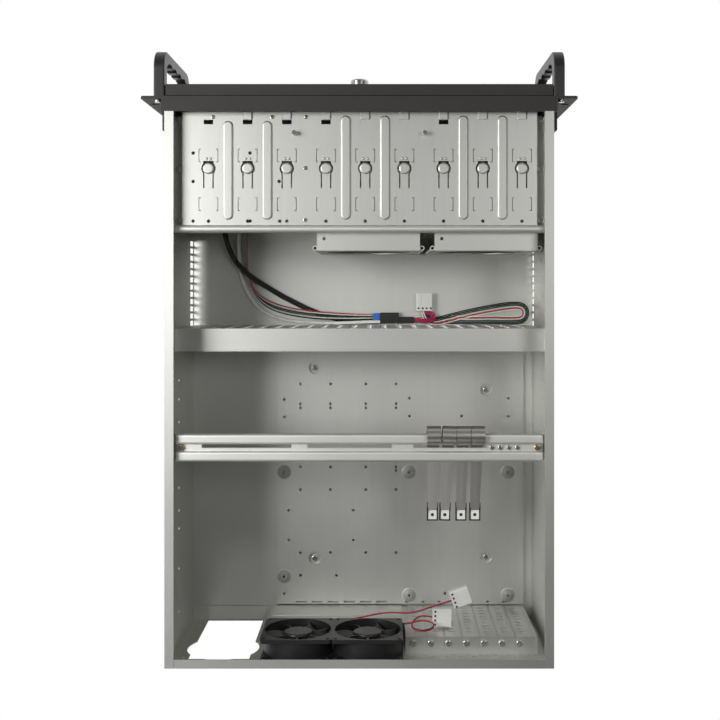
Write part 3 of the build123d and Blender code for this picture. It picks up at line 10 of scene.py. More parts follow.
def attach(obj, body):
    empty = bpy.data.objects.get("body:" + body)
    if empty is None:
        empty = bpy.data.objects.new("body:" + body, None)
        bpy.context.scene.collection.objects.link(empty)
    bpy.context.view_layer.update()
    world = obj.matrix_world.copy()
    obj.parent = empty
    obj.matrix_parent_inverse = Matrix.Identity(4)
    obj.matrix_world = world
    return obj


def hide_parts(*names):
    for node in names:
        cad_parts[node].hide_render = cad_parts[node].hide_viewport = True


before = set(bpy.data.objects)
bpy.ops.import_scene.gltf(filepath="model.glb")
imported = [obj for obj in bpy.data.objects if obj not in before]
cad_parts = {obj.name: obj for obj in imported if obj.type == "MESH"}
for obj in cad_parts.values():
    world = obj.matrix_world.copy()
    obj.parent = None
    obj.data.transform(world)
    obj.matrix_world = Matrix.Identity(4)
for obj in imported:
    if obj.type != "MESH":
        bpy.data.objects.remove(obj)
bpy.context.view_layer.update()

bl_info = {
    "name": "Rackmount server case",
    "version": (1, 0, 0),
    "blender": (4, 5, 0),
    "location": "View3D > Sidebar > Server case",
    "description": "Finishes and dresses an open rackmount server case around its solids",
    "category": "Object",
}

MM = 0.001
CASE = "case"

# Floor: its size, its colours and the two patches of it that don't glow, in metres
FLOOR_HALF = 12.0
FLOOR_DROP = 0.0006
PAPER_GREY = (0.82, 0.82, 0.82, 1.0)
PAPER_GLOW = (1.0, 1.0, 1.0, 1.0)
SHADE_MIDDLE = (-0.05, 0.27)
SHADE_HALF = (0.15, 0.10)
SHADE_EDGE = 0.02
BEHIND_MIDDLE = (0.0, 0.9)
BEHIND_HALF = (1.5, 0.65)

# Room: grey levels from the horizon up, and how far its rear is dimmed
ROOM_LEVELS = ((0.0, 0.80), (0.25, 0.62), (0.5, 0.14), (1.0, 0.13))
REAR_SHARE = 0.15
REAR_FADE = (-0.3, 0.6)

# Soft lights: place, the point they face and their side, in metres
KEY_LIGHT = ((1.0, -0.22, 1.27), (0.0, 0.0, 0.1), 0.65)
SIDE_LIGHT = ((-0.65, -0.25, 1.40), (0.0, 0.0, 0.1), 0.4)
REAR_LIGHT = ((0.25, 1.35, 1.15), (0.0, 0.1, 0.1), 0.8)

# Camera: the sensor in millimetres, the picture and its shift in pixels
SENSOR_WIDTH = 36.0
PICTURE_SIDE = 720
SHIFT_ACROSS = -24
SHIFT_UP = -70

# Colours of small pieces
YELLOW_ZINC = (0.62, 0.50, 0.30)
BOARD_GREEN = (0.03, 0.14, 0.06)
LOCK_NICKEL = (0.55, 0.54, 0.52)
DARK_STEEL = (0.16, 0.15, 0.14)
PAD_BLACK = (0.018, 0.018, 0.018)
FOOT_WHITE = (0.86, 0.86, 0.84)
PLUG_BLUE = (0.03, 0.14, 0.50)
INSULATION = {
    "black": (0.016, 0.016, 0.016),
    "white": (0.78, 0.76, 0.72),
    "red": (0.46, 0.030, 0.028),
    "green": (0.012, 0.085, 0.045),
    "grey": (0.86, 0.86, 0.83),
    "magenta": (0.36, 0.012, 0.085),
}

# Rolling lines along and across the case, and the run of scuffs: how fine the noise is on each axis
GRAIN_ALONG = (420, 9, 420)
GRAIN_ACROSS = (9, 420, 420)
SCUFF_RUN = (70, 900, 70)

# Routes of the leads, in millimetres, each ending at its plug
USB_ROUTE = (
    (181.2, -268.4, 42.0),
    (181.2, -258.0, 42.0),
    (180.0, -244.0, 38.0),
    (178.4, -226.0, 28.0),
    (176.6, -204.0, 19.6),
    (175.0, -181.0, 16.2),
    (173.4, -163.0, 16.8),
    (171.8, -149.0, 18.0),
    (169.8, -138.6, 17.6),
    (166.4, -127.6, 13.8),
    (161.8, -117.0, 11.6),
    (154.6, -107.0, 11.8),
    (144.6, -97.4, 11.4),
    (131.6, -87.6, 8.2),
    (116.0, -77.6, 4.6),
    (98.6, -67.2, 3.6),
    (80.2, -58.0, 3.5),
    (61.6, -49.4, 3.6),
    (43.0, -42.4, 3.5),
    (24.6, -38.4, 3.6),
    (6.6, -36.9, 3.4),
    (-9.0, -36.4, 3.5),
    (-22.2, -36.6, 3.4),
)
GREY_ROUTE = (
    (169.2, -268.4, 42.0),
    (169.2, -258.0, 42.0),
    (167.0, -244.0, 36.4),
    (163.4, -226.0, 25.8),
    (160.0, -203.0, 17.8),
    (156.6, -180.0, 15.2),
    (154.2, -162.0, 15.8),
    (153.6, -149.0, 16.8),
    (154.0, -139.4, 16.2),
    (154.8, -128.6, 9.8),
    (155.6, -118.0, 4.8),
    (155.2, -104.0, 3.1),
    (151.4, -88.0, 3.0),
    (142.6, -68.0, 3.1),
    (128.0, -50.6, 3.0),
    (106.0, -40.4, 3.1),
    (80.0, -36.4, 3.0),
    (56.0, -35.2, 3.4),
    (36.0, -34.8, 5.4),
    (18.0, -35.4, 8.2),
    (0.0, -36.2, 8.8),
    (-11.4, -36.7, 8.3),
    (-22.2, -36.6, 8.0),
)
LAMP_ROUTE = (
    (169.2, -268.4, 60.0),
    (169.2, -258.0, 60.0),
    (166.4, -244.0, 53.4),
    (159.4, -224.0, 38.4),
    (151.8, -202.0, 23.4),
    (146.2, -180.0, 17.0),
    (143.2, -162.0, 17.0),
    (142.6, -149.0, 18.2),
    (142.8, -138.8, 17.8),
    (143.4, -127.6, 12.8),
    (144.4, -116.4, 5.8),
    (144.0, -101.0, 3.6),
    (140.4, -83.6, 3.5),
    (131.2, -67.4, 3.6),
    (114.6, -55.8, 3.8),
    (92.0, -49.6, 5.2),
    (71.0, -46.4, 8.6),
    (52.0, -44.6, 10.8),
    (32.0, -43.5, 10.5),
    (10.0, -42.8, 8.0),
    (-13.4, -43.0, 5.8),
)
LOOP_ROUTE = (
    (-65.0, -38.6, 4.2),
    (-75.0, -38.5, 4.0),
    (-92.0, -37.4, 3.1),
    (-114.0, -37.8, 3.0),
    (-140.0, -36.9, 3.1),
    (-164.0, -37.5, 3.0),
    (-180.0, -37.0, 3.1),
    (-190.4, -37.2, 3.2),
    (-201.0, -37.7, 3.6),
    (-206.9, -43.5, 4.4),
    (-206.9, -51.8, 4.8),
    (-201.0, -57.7, 4.4),
    (-190.0, -58.2, 3.7),
    (-176.0, -56.5, 3.2),
    (-158.0, -53.3, 3.0),
    (-140.0, -49.9, 3.1),
    (-122.0, -45.7, 3.3),
    (-105.0, -41.3, 4.6),
    (-91.8, -38.4, 7.1),
    (-84.2, -39.9, 7.2),
    (-79.7, -44.7, 6.8),
    (-78.4, -50.4, 6.4),
)
FAN_LEFT_ROUTE = (
    (60.0, 314.25, 88.0),
    (59.4, 315.0, 83.0),
    (56.0, 316.0, 78.4),
    (49.8, 317.0, 75.2),
    (41.0, 317.6, 74.2),
    (27.0, 317.4, 75.4),
    (12.0, 315.8, 78.6),
    (-2.0, 312.2, 82.8),
    (-14.0, 308.0, 86.8),
    (-27.0, 305.0, 90.2),
    (-41.0, 303.6, 93.4),
    (-55.0, 303.4, 96.4),
    (-68.0, 300.6, 98.8),
    (-81.4, 295.2, 100.4),
    (-94.4, 291.2, 100.6),
    (-106.7, 287.4, 100.4),
)
FAN_RIGHT_ROUTE = (
    (-48.8, 314.25, 101.0),
    (-56.6, 314.25, 101.0),
    (-66.0, 311.6, 100.0),
    (-75.6, 310.4, 101.6),
    (-82.6, 310.6, 108.0),
    (-85.6, 311.4, 117.6),
    (-82.0, 312.4, 128.0),
    (-73.0, 313.0, 133.6),
    (-63.4, 312.8, 130.6),
    (-58.6, 311.4, 121.6),
    (-61.0, 308.4, 110.6),
    (-67.6, 305.8, 102.0),
    (-76.0, 305.7, 98.8),
    (-84.0, 307.2, 98.8),
)
BUNCH_ROUTE = (
    (-65.2, -39.6, 6.0),
    (-72.0, -37.8, 8.8),
    (-82.0, -37.6, 10.8),
    (-90.0, -40.6, 10.4),
    (-90.0, -46.4, 8.6),
    (-84.0, -47.4, 7.2),
    (-79.6, -50.4, 6.6),
)

# Wires of the leads: colours from one side of the ribbon, thickness in metres, other sizes in millimetres
LAMP_WIRES = ("black", "white", "green", "black", "white", "red")
LOOP_WIRES = ("black", "black", "green", "white", "red", "white")
WIRE_THICK = 0.0014
LAMP_PITCH = 1.8
LAMP_INWARD = 0.0
LOOP_PITCH = 1.9
LOOP_INWARD = 1.5
USB_THICK = 0.0032
USB_APART = 1.7
GREY_THICK = 0.0042
GREY_UP = 0.6
BUNCH_COUNT = 4
BUNCH_PITCH = 1.7
BUNCH_UP = 0.6
FAN_WIRES = ("red", "black")
FAN_APART = 0.5
FAN_UP = 0.7

# How close wires gather at their ends, as a share, and the route points over which they gather
RIBBON_GATHER = 0.6
BUNCH_GATHER = 0.7
UNGATHERED = 1.0
GATHER_RUN = 3

# The route point from which a ribbon lies flat, and the points over which it turns down from its edge
LAMP_UPRIGHT = 14
LOOP_UPRIGHT = 0
RIBBON_TURN = 2

# White plugs: node, the route of their lead and how far they are turned, in degrees
WHITE_PLUGS = (
    ("power_plug", LOOP_ROUTE, 0.0),
    ("fan_plug_1", FAN_LEFT_ROUTE, -70.0),
    ("fan_plug_2", FAN_RIGHT_ROUTE, -92.0),
)

# Tops of the white plugs, in millimetres: number, pitch, size of a block and its place behind the lead's end
PLUG_HALF_HEIGHT = 5.0
RIB_ROW = (3, 5.08, (1.2, 12.0, 0.9), 13.0)
# Dark blocks at the lead's end: painted shade where the wire holes are
PAINTED_HOLE_SHADE_ROW = (4, 5.08, (2.2, 2.2, 0.5), 3.2)

# Posts drawn up out of the board tray: heights in metres, how much darker they are painted (painted shade),
# and how dull the drawn metal is
TRAY_TOP = 0.006
FORMED_EDGE = 0.0006
FORMED_PAINTED_SHADE = 0.78
FORMED_DULL = 0.32

# Card clamps, and their flat feet in metres
CLAMP_NUMBERS = (1, 2, 3, 4)
FOOT_LENGTH = 0.0115
FOOT_THICK = 0.0008
FOOT_INSET = 0.0005
FOOT_HOLE = 0.0019
FOOT_LAYER = 0.0003
FOOT_SIDES = 24


# Settings a user would change
class CaseFinishes(bpy.types.PropertyGroup):
    """Colours of the case's finishes."""

    zinc: bpy.props.FloatVectorProperty(
        name="Zinc sheet", description="Colour of the zinc-coated sheet", subtype="COLOR",
        size=3, min=0, max=1, default=(0.63, 0.635, 0.60))
    # Cross bars: a lighter copy of the zinc colour, painted highlight for the light on their rounded tops
    bar: bpy.props.FloatVectorProperty(
        name="Cross bars", description="Colour of the bars across the case", subtype="COLOR",
        size=3, min=0, max=1, default=(0.78, 0.78, 0.74))
    bright: bpy.props.FloatVectorProperty(
        name="Bright plate", description="Colour of the plated small parts", subtype="COLOR",
        size=3, min=0, max=1, default=(0.70, 0.70, 0.68))
    coat: bpy.props.FloatVectorProperty(
        name="Front coat", description="Colour of the powder coat on the front", subtype="COLOR",
        size=3, min=0, max=1, default=(0.026, 0.023, 0.021))
    moulding: bpy.props.FloatVectorProperty(
        name="Black mouldings", description="Colour of handles, fans and bay fronts", subtype="COLOR",
        size=3, min=0, max=1, default=(0.015, 0.015, 0.015))
    spring: bpy.props.FloatVectorProperty(
        name="Spring strip", description="Colour of the card clamps", subtype="COLOR",
        size=3, min=0, max=1, default=(0.56, 0.545, 0.52))
    plug: bpy.props.FloatVectorProperty(
        name="White plugs", description="Colour of the power plugs", subtype="COLOR",
        size=3, min=0, max=1, default=(0.70, 0.70, 0.67))


class CaseStage(bpy.types.PropertyGroup):
    """Camera and light round the case."""

    camera_height: bpy.props.FloatProperty(
        name="Camera height", description="Height of the camera over the floor", subtype="DISTANCE",
        default=1.367)
    camera_x: bpy.props.FloatProperty(
        name="Camera X", description="Camera's place across the case", subtype="DISTANCE", default=-0.0273)
    camera_y: bpy.props.FloatProperty(
        name="Camera Y", description="Camera's place along the case", subtype="DISTANCE", default=-0.0766)
    lens: bpy.props.FloatProperty(
        name="Lens", description="Focal length for a 36 mm sensor", unit="CAMERA", default=54.0)
    key_power: bpy.props.FloatProperty(
        name="Key light", description="Power of the soft light on the left of the picture",
        subtype="POWER", default=18.8)
    side_power: bpy.props.FloatProperty(
        name="Side light", description="Power of the weaker soft light on the right of the picture",
        subtype="POWER", default=2.8)
    rear_power: bpy.props.FloatProperty(
        name="Rear light", description="Power of the soft light below the picture",
        subtype="POWER", default=2.0)
    sky: bpy.props.FloatProperty(
        name="Room light", description="Strength of the light from all round", default=1.0)


# Shader arithmetic
class Value:
    """A shader socket that takes part in Python arithmetic."""

    def __init__(self, graph, socket):
        self.graph = graph
        self.socket = socket

    def math(self, operation, first, second):
        return self.graph.node("ShaderNodeMath", {"operation": operation}, {0: first, 1: second})

    def __add__(self, other):
        return self.math("ADD", self, other)

    def __radd__(self, other):
        return self.math("ADD", other, self)

    def __sub__(self, other):
        return self.math("SUBTRACT", self, other)

    def __rsub__(self, other):
        return self.math("SUBTRACT", other, self)

    def __mul__(self, other):
        return self.math("MULTIPLY", self, other)

    def __rmul__(self, other):
        return self.math("MULTIPLY", other, self)


class Graph:
    """A node tree under construction."""

    def __init__(self, tree):
        self.tree = tree
        self.tree.nodes.clear()

    def feed(self, socket, value):
        if isinstance(value, Value):
            self.tree.links.new(value.socket, socket)
        else:
            socket.default_value = value

    def node(self, kind, settings=None, inputs=None, output=0):
        """Adds a node: its settings first, then the values or links of its sockets."""
        made = self.tree.nodes.new(kind)
        for name, value in (settings or {}).items():
            if name == "stops":
                self.set_stops(made.color_ramp, value)
            else:
                setattr(made, name, value)
        for name, value in (inputs or {}).items():
            self.feed(made.inputs[name], value)
        return Value(self, made.outputs[output])

    def end(self, kind, value):
        """Adds the tree's output node."""
        self.feed(self.tree.nodes.new(kind).inputs["Surface"], value)

    def set_stops(self, ramp, stops):
        while len(ramp.elements) < len(stops):
            ramp.elements.new(1.0)
        for element, (place, level) in zip(ramp.elements, stops):
            element.position = place
            element.color = (level, level, level, 1.0)


class Finish(Graph):
    """A material made of one principled shader."""

    def __init__(self, name):
        self.material = bpy.data.materials.new(name)
        self.material.use_nodes = True
        super().__init__(self.material.node_tree)
        self.shader = self.tree.nodes.new("ShaderNodeBsdfPrincipled")
        self.end("ShaderNodeOutputMaterial", Value(self, self.shader.outputs[0]))
        self.place = self.node("ShaderNodeTexCoord", output="Object")

    def set(self, **inputs):
        for name, value in inputs.items():
            self.feed(self.shader.inputs[name.replace("_", " ")], value)
        return self

    def noise(self, scale, detail=3.0, stretch=(1, 1, 1)):
        """Even noise over the surface, from 0 to 1, finer along the axes that are stretched."""
        place = self.node("ShaderNodeMapping", {}, {"Vector": self.place, "Scale": stretch})
        return self.node("ShaderNodeTexNoise", {}, {"Vector": place, "Scale": scale, "Detail": detail})

    def levels(self, value, *stops):
        """A ramp of grey levels."""
        return self.node("ShaderNodeValToRGB", {"stops": stops}, {"Fac": value})

    def between(self, share, first, second):
        """A colour between two others."""
        return self.node(
            "ShaderNodeMix", {"data_type": "RGBA"},
            {"Factor": share, "A": tinted(first), "B": tinted(second)}, output=2)

    def bump(self, height, strength, distance):
        """Sets the surface's relief from a height from 0 to 1."""
        normal = self.node(
            "ShaderNodeBump", {}, {"Height": height, "Strength": strength, "Distance": distance})
        return self.set(Normal=normal)


def tinted(colour, level=1.0):
    """A colour as four numbers, made lighter or darker."""
    return colour if isinstance(colour, Value) else (*(channel * level for channel in colour[:3]), 1.0)


# Finishes
def sheet_finish(name, colour, roughness=0.50, grain=GRAIN_ALONG, formed=None):
    """Zinc-coated sheet: cloudy, with faint rolling lines and light scuffs, duller where it is drawn up and
    painted darker there as painted shade.
    """
    finish = Finish(name)
    cloud = finish.noise(9.0, detail=4.0)
    lines = finish.noise(1.0, detail=2.0, stretch=grain)
    speck = finish.noise(900.0, detail=2.0)
    scuff = finish.levels(finish.noise(1.0, detail=2.0, stretch=SCUFF_RUN), (0.66, 0.0), (0.74, 1.0))
    patchy = finish.levels(finish.noise(5.0), (0.45, 0.0), (0.62, 1.0))
    worn = scuff * patchy
    tone = cloud * 0.5 + lines * 0.3 + speck * 0.2
    shade = finish.between(tone, tinted(colour, 0.90), tinted(colour, 1.09))
    dullness = roughness - 0.07 + cloud * 0.09 + lines * 0.05 + worn * 0.06
    if formed is not None:
        height = finish.node("ShaderNodeSeparateXYZ", {}, {0: finish.place}, output="Z")
        raised = finish.node("ShaderNodeMapRange", {}, {
            "Value": height, "From Min": formed, "From Max": formed + FORMED_EDGE,
            "To Min": 0.0, "To Max": 1.0})
        # Drawn-up parts get a darker copy of the colour: painted shade
        shade = finish.between(raised, shade, tinted(colour, FORMED_PAINTED_SHADE))
        dullness = dullness + raised * FORMED_DULL
    finish.set(Base_Color=shade, Metallic=1.0, Roughness=dullness)
    return finish.bump(lines * 0.85 + speck * 0.15, strength=0.05, distance=0.0002).material


def coat_finish(name, colour):
    """Fine-textured powder coat with a slight mottle."""
    finish = Finish(name)
    peel = finish.noise(1500.0, detail=2.0)
    mottle = finish.noise(30.0)
    finish.set(
        Base_Color=finish.between(mottle, tinted(colour, 0.86), tinted(colour, 1.16)),
        Roughness=0.58 + peel * 0.10,
    )
    return finish.bump(peel, strength=0.22, distance=0.00025).material


def moulded_finish(name, colour, roughness):
    """Moulded plastic with a fine spark-eroded grain."""
    finish = Finish(name)
    fine = finish.noise(1100.0, detail=2.0)
    flow = finish.noise(16.0)
    finish.set(
        Base_Color=finish.between(flow, tinted(colour, 0.85), tinted(colour, 1.2)),
        Roughness=roughness - 0.05 + fine * 0.12,
    )
    return finish.bump(fine, strength=0.12, distance=0.0002).material


def plated_finish(name, colour, roughness=0.24):
    """Plated small metal parts, slightly dulled in patches."""
    finish = Finish(name)
    dull = finish.noise(240.0)
    swirl = finish.noise(1400.0, detail=2.0)
    finish.set(
        Base_Color=finish.between(dull, tinted(colour, 0.82), tinted(colour, 1.1)),
        Metallic=1.0,
        Roughness=roughness - 0.06 + dull * 0.14,
    )
    return finish.bump(swirl, strength=0.06, distance=0.0001).material


def insulation_finish(name, colour):
    """Smooth wire insulation, a little dusty."""
    finish = Finish(name)
    dust = finish.noise(180.0)
    finish.set(
        Base_Color=finish.between(dust, tinted(colour, 0.84), tinted(colour, 1.14)),
        Roughness=0.34 + dust * 0.16,
    )
    return finish.bump(dust, strength=0.05, distance=0.0002).material


def insulation(colour):
    """The insulation finish of a colour, made once."""
    name = f"{colour}_insulation"
    return bpy.data.materials.get(name) or insulation_finish(name, INSULATION[colour])


# Solids and new pieces
def dress(material, *nodes):
    """Gives solids of the case a finish."""
    for name in nodes:
        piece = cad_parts[name]
        for slot in piece.material_slots:
            slot.material = material


def new_piece(name, mesh):
    """A new object that holds a finished bmesh."""
    data = bpy.data.meshes.new(name)
    mesh.to_mesh(data)
    mesh.free()
    piece = bpy.data.objects.new(name, data)
    bpy.context.scene.collection.objects.link(piece)
    return piece


# Leads
def lay_strand(name, points, diameter, material):
    """A round strand on a smooth line that follows its control points."""
    curve = bpy.data.curves.new(name, "CURVE")
    curve.dimensions = "3D"
    curve.bevel_depth = diameter / 2
    curve.bevel_resolution = 3
    curve.resolution_u = 6
    curve.use_fill_caps = True
    spline = curve.splines.new("NURBS")
    spline.points.add(len(points) - 1)
    for control, place in zip(spline.points, points):
        control.co = (*place, 1.0)
    spline.order_u = 3
    spline.use_endpoint_u = True
    curve.materials.append(material)
    piece = bpy.data.objects.new(name, curve)
    bpy.context.scene.collection.objects.link(piece)
    return piece


def route_length(points):
    """Length of the smooth line, a little less than the runs between its points."""
    probe = lay_strand("route_probe", points, 0.0, None)
    line = bpy.data.meshes.new_from_object(probe.evaluated_get(bpy.context.evaluated_depsgraph_get()))
    places = [vertex.co for vertex in line.vertices]
    length = sum((b - a).length for a, b in zip(places, places[1:]))
    bpy.data.meshes.remove(line)
    data = probe.data
    bpy.data.objects.remove(probe)
    bpy.data.curves.remove(data)
    return length


def beside(route, sideways, upward, gather):
    """A strand's control points: the route moved sideways and up, gathered at both ends."""
    places = [Vector(p) for p in route]
    moved = []
    last = len(places) - 1
    for k, place in enumerate(places):
        before = places[max(k - 1, 0)]
        after = places[min(k + 1, last)]
        along = Vector((after.x - before.x, after.y - before.y, 0.0))
        across = Vector((-along.y, along.x, 0.0)).normalized()
        share = min(1.0, gather + (1 - gather) * min(k, last - k) / GATHER_RUN)
        moved.append((place + across * sideways * share + Vector((0, 0, upward * share))) * MM)
    return moved


def declare_lead(piece, points, node):
    """Rides a strand on the case and hides the solid it stands for."""
    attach(piece, CASE)
    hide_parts(node)
    tuple(points[0])
    route_length(points)


def lay_ribbon(name, route, colours, pitch, inward, upright, node):
    """Wires side by side along a route, on edge over its first points and closer together at both ends."""
    shares = [min(1.0, max(0.0, (n - upright) / RIBBON_TURN + 1)) for n in range(len(route))]
    for k, colour in enumerate(colours):
        flat = beside(route, inward + pitch * (k - (len(colours) - 1) / 2), 0.0, RIBBON_GATHER)
        edge = beside(route, 0.0, WIRE_THICK / MM * k, RIBBON_GATHER)
        points = [low.lerp(high, share) for low, high, share in zip(edge, flat, shares)]
        piece = lay_strand(f"{name}_{k + 1}", points, WIRE_THICK, insulation(colour))
        declare_lead(piece, points, node)


# Steps that dress the case
class CASE_OT_sheet_metal(bpy.types.Operator):
    """Zinc and plated finishes of the folded sheets and screws"""

    bl_idname = "case.sheet_metal"
    bl_label = "Sheet metal"

    def execute(self, context):
        colours = context.scene.case_finishes
        zinc = sheet_finish("zinc_sheet", colours.zinc)
        cross = sheet_finish("zinc_sheet_across", colours.zinc, grain=GRAIN_ACROSS)
        # The bars get a lighter copy of the zinc: painted highlight
        bars = sheet_finish("bar_sheet_painted_highlight", colours.bar, roughness=0.54, grain=GRAIN_ACROSS)
        bright = sheet_finish("bright_sheet", colours.bright, roughness=0.44)
        # Tray finish whose drawn-up posts are painted darker: painted shade
        tray = sheet_finish("tray_sheet", colours.zinc, formed=TRAY_TOP)
        dress(tray, "board_tray")
        dress(zinc, "chassis_tub", "cage_top", "cage_floor", "cage_side_left",
              "cage_side_right", "slot_panel", "rear_panel", "bar_bracket_left", "bar_bracket_right")
        dress(cross, "fan_bracket_1", "fan_bracket_2", "mid_wall")
        dress(bars, "cross_bar", "hold_down_bar")
        dress(bright, "io_plate", "slot_covers")
        dress(plated_finish("plated_screws", colours.bright), "slot_screws", "tray_screws",
              "cage_screws", "handle_screws", "hinge_pins")
        dress(plated_finish("yellow_screws", YELLOW_ZINC), "bar_screws")
        return {"FINISHED"}


class CASE_OT_front(bpy.types.Operator):
    """Coated front, lock, handles and bay fronts"""

    bl_idname = "case.front"
    bl_label = "Front"

    def execute(self, context):
        colours = context.scene.case_finishes
        dress(coat_finish("front_coat", colours.coat), "front_frame", "front_door", "ear_left", "ear_right")
        dress(moulded_finish("handle_moulding", colours.moulding, roughness=0.36),
              "handle_left", "handle_right")
        dress(moulded_finish("bay_moulding", colours.moulding, roughness=0.5), "bay_fronts", "control_panel")
        dress(moulded_finish("button_moulding", colours.moulding, roughness=0.25),
              "power_button", "reset_button")
        dress(moulded_finish("green_board", BOARD_GREEN, roughness=0.35), "control_board")
        dress(plated_finish("lock_plating", LOCK_NICKEL, roughness=0.2), "lock_barrel", "lock_plug")
        return {"FINISHED"}


class CASE_OT_fans(bpy.types.Operator):
    """Rear fans and their screws"""

    bl_idname = "case.fans"
    bl_label = "Rear fans"

    def execute(self, context):
        colours = context.scene.case_finishes
        dress(moulded_finish("fan_moulding", colours.moulding, roughness=0.34), "fan_frame_1", "fan_frame_2")
        dress(moulded_finish("rotor_moulding", colours.moulding, roughness=0.3),
              "fan_rotor_1", "fan_rotor_2")
        dress(plated_finish("dark_screws", DARK_STEEL, roughness=0.3), "fan_screws")
        return {"FINISHED"}


class CASE_OT_clamps(bpy.types.Operator):
    """Card clamps, their rubber pads and a thin white layer on each foot"""

    bl_idname = "case.clamps"
    bl_label = "Card clamps"

    def execute(self, context):
        colours = context.scene.case_finishes
        strip = sheet_finish("spring_strip", colours.spring, roughness=0.34)
        rubber = moulded_finish("pad_rubber", PAD_BLACK, roughness=0.6)
        white = moulded_finish("white_foot_layer", FOOT_WHITE, roughness=0.4)
        for number in CLAMP_NUMBERS:
            dress(strip, f"card_clamp_{number}")
            dress(rubber, f"clamp_pad_{number}")
            self.lay_white_foot(number, white)
        return {"FINISHED"}

    def lay_white_foot(self, number, material):
        """A thin white layer with a hole on the flat foot of a clamp."""
        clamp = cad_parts[f"card_clamp_{number}"]
        places = [clamp.matrix_world @ vertex.co for vertex in clamp.data.vertices]
        low = min(place.z for place in places)
        end = max(place.y for place in places)
        top = low + FOOT_THICK
        foot = [p for p in places if p.z < top + FOOT_THICK / 2 and p.y > end - FOOT_LENGTH]
        left, right = min(p.x for p in foot), max(p.x for p in foot)
        middle = Vector(((left + right) / 2, end - FOOT_LENGTH / 2, top))
        half = Vector(((right - left) / 2 - FOOT_INSET, FOOT_LENGTH / 2 - FOOT_INSET))
        mesh = bmesh.new()
        outline = bmesh.ops.create_circle(mesh, segments=FOOT_SIDES, radius=1.0)["verts"]
        for vert in outline:
            spread = 1.0 / max(abs(vert.co.x), abs(vert.co.y))
            vert.co = middle + Vector((vert.co.x * half.x, vert.co.y * half.y, 0.0)) * spread
        hole = bmesh.ops.create_circle(mesh, segments=FOOT_SIDES, radius=FOOT_HOLE)["verts"]
        bmesh.ops.translate(mesh, verts=hole, vec=middle)
        bmesh.ops.bridge_loops(mesh, edges=mesh.edges[:])
        bmesh.ops.recalc_face_normals(mesh, faces=mesh.faces)
        bmesh.ops.solidify(mesh, geom=mesh.faces[:], thickness=-FOOT_LAYER)
        piece = new_piece(f"clamp_white_foot_{number}", mesh)
        piece.data.materials.append(material)
        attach(piece, f"clamp_{number}")


class CASE_OT_plugs(bpy.types.Operator):
    """White, black and blue plugs"""

    bl_idname = "case.plugs"
    bl_label = "Plugs"

    def execute(self, context):
        colours = context.scene.case_finishes
        white = moulded_finish("white_plug_moulding", colours.plug, roughness=0.38)
        dress(white, "power_plug", "fan_plug_1", "fan_plug_2")
        dress(moulded_finish("black_plug_moulding", colours.moulding, roughness=0.4), "header_plugs")
        dress(moulded_finish("blue_plug_moulding", PLUG_BLUE, roughness=0.4), "blue_plug")
        # Dark blocks on the plug tops stand for the shade in the wire holes: painted shade
        dark = moulded_finish("plug_painted_hole_shade", colours.moulding, roughness=0.6)
        for name, route, turn in WHITE_PLUGS:
            self.shape_top(f"{name}_ribs", route, turn, RIB_ROW, white, "white_plug")
            self.shape_top(f"{name}_painted_hole_shade", route, turn, PAINTED_HOLE_SHADE_ROW, dark, "black_plug")
        return {"FINISHED"}

    def shape_top(self, name, route, turn, row, material, slot):
        """A row of small blocks across the top of a plug, at its lead's end or along its grip; the dark row
        at the lead's end is painted shade of the wire holes.
        """
        count, pitch, size, back = row
        heading = Matrix.Rotation(math.radians(turn), 4, "Z")
        mesh = bmesh.new()
        for k in range(count):
            place = Vector((pitch * (k - (count - 1) / 2), -back, PLUG_HALF_HEIGHT))
            seat = Matrix.Translation(Vector(route[-1]) * MM) @ heading @ Matrix.Translation(place * MM)
            scale = Matrix.Diagonal((*(side * MM for side in size), 1.0))
            bmesh.ops.create_cube(mesh, size=1.0, matrix=seat @ scale)
        piece = new_piece(name, mesh)
        piece.data.materials.append(material)
        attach(piece, CASE)


class CASE_OT_front_leads(bpy.types.Operator):
    """Leads from the control strip to the plugs by the mid wall"""

    bl_idname = "case.front_leads"
    bl_label = "Front leads"

    def execute(self, context):
        for name, route, sideways, upward, colour, diameter, node in (
            ("usb_cable_1", USB_ROUTE, -USB_APART, 0.0, "black", USB_THICK, "usb_lead"),
            ("usb_cable_2", USB_ROUTE, USB_APART, 0.0, "black", USB_THICK, "usb_lead"),
            ("grey_cable", GREY_ROUTE, 0.0, GREY_UP, "grey", GREY_THICK, "grey_lead"),
        ):
            points = beside(route, sideways, upward, UNGATHERED)
            piece = lay_strand(name, points, diameter, insulation(colour))
            declare_lead(piece, points, node)
        lay_ribbon(
            "lamp_wire", LAMP_ROUTE, LAMP_WIRES, LAMP_PITCH, LAMP_INWARD, LAMP_UPRIGHT,
            "lamp_lead")
        return {"FINISHED"}


class CASE_OT_loop_lead(bpy.types.Operator):
    """Ribbon of wires that loops along the mid wall"""

    bl_idname = "case.loop_lead"
    bl_label = "Looped lead"

    def execute(self, context):
        lay_ribbon(
            "loop_wire", LOOP_ROUTE, LOOP_WIRES, LOOP_PITCH, LOOP_INWARD, LOOP_UPRIGHT,
            "loop_lead")
        for k in range(BUNCH_COUNT):
            sideways = BUNCH_PITCH * (k - (BUNCH_COUNT - 1) / 2)
            points = beside(BUNCH_ROUTE, sideways, BUNCH_UP * (k % 2), BUNCH_GATHER)
            piece = lay_strand(f"bunch_wire_{k + 1}", points, WIRE_THICK, insulation("magenta"))
            declare_lead(piece, points, "loop_lead")
        return {"FINISHED"}


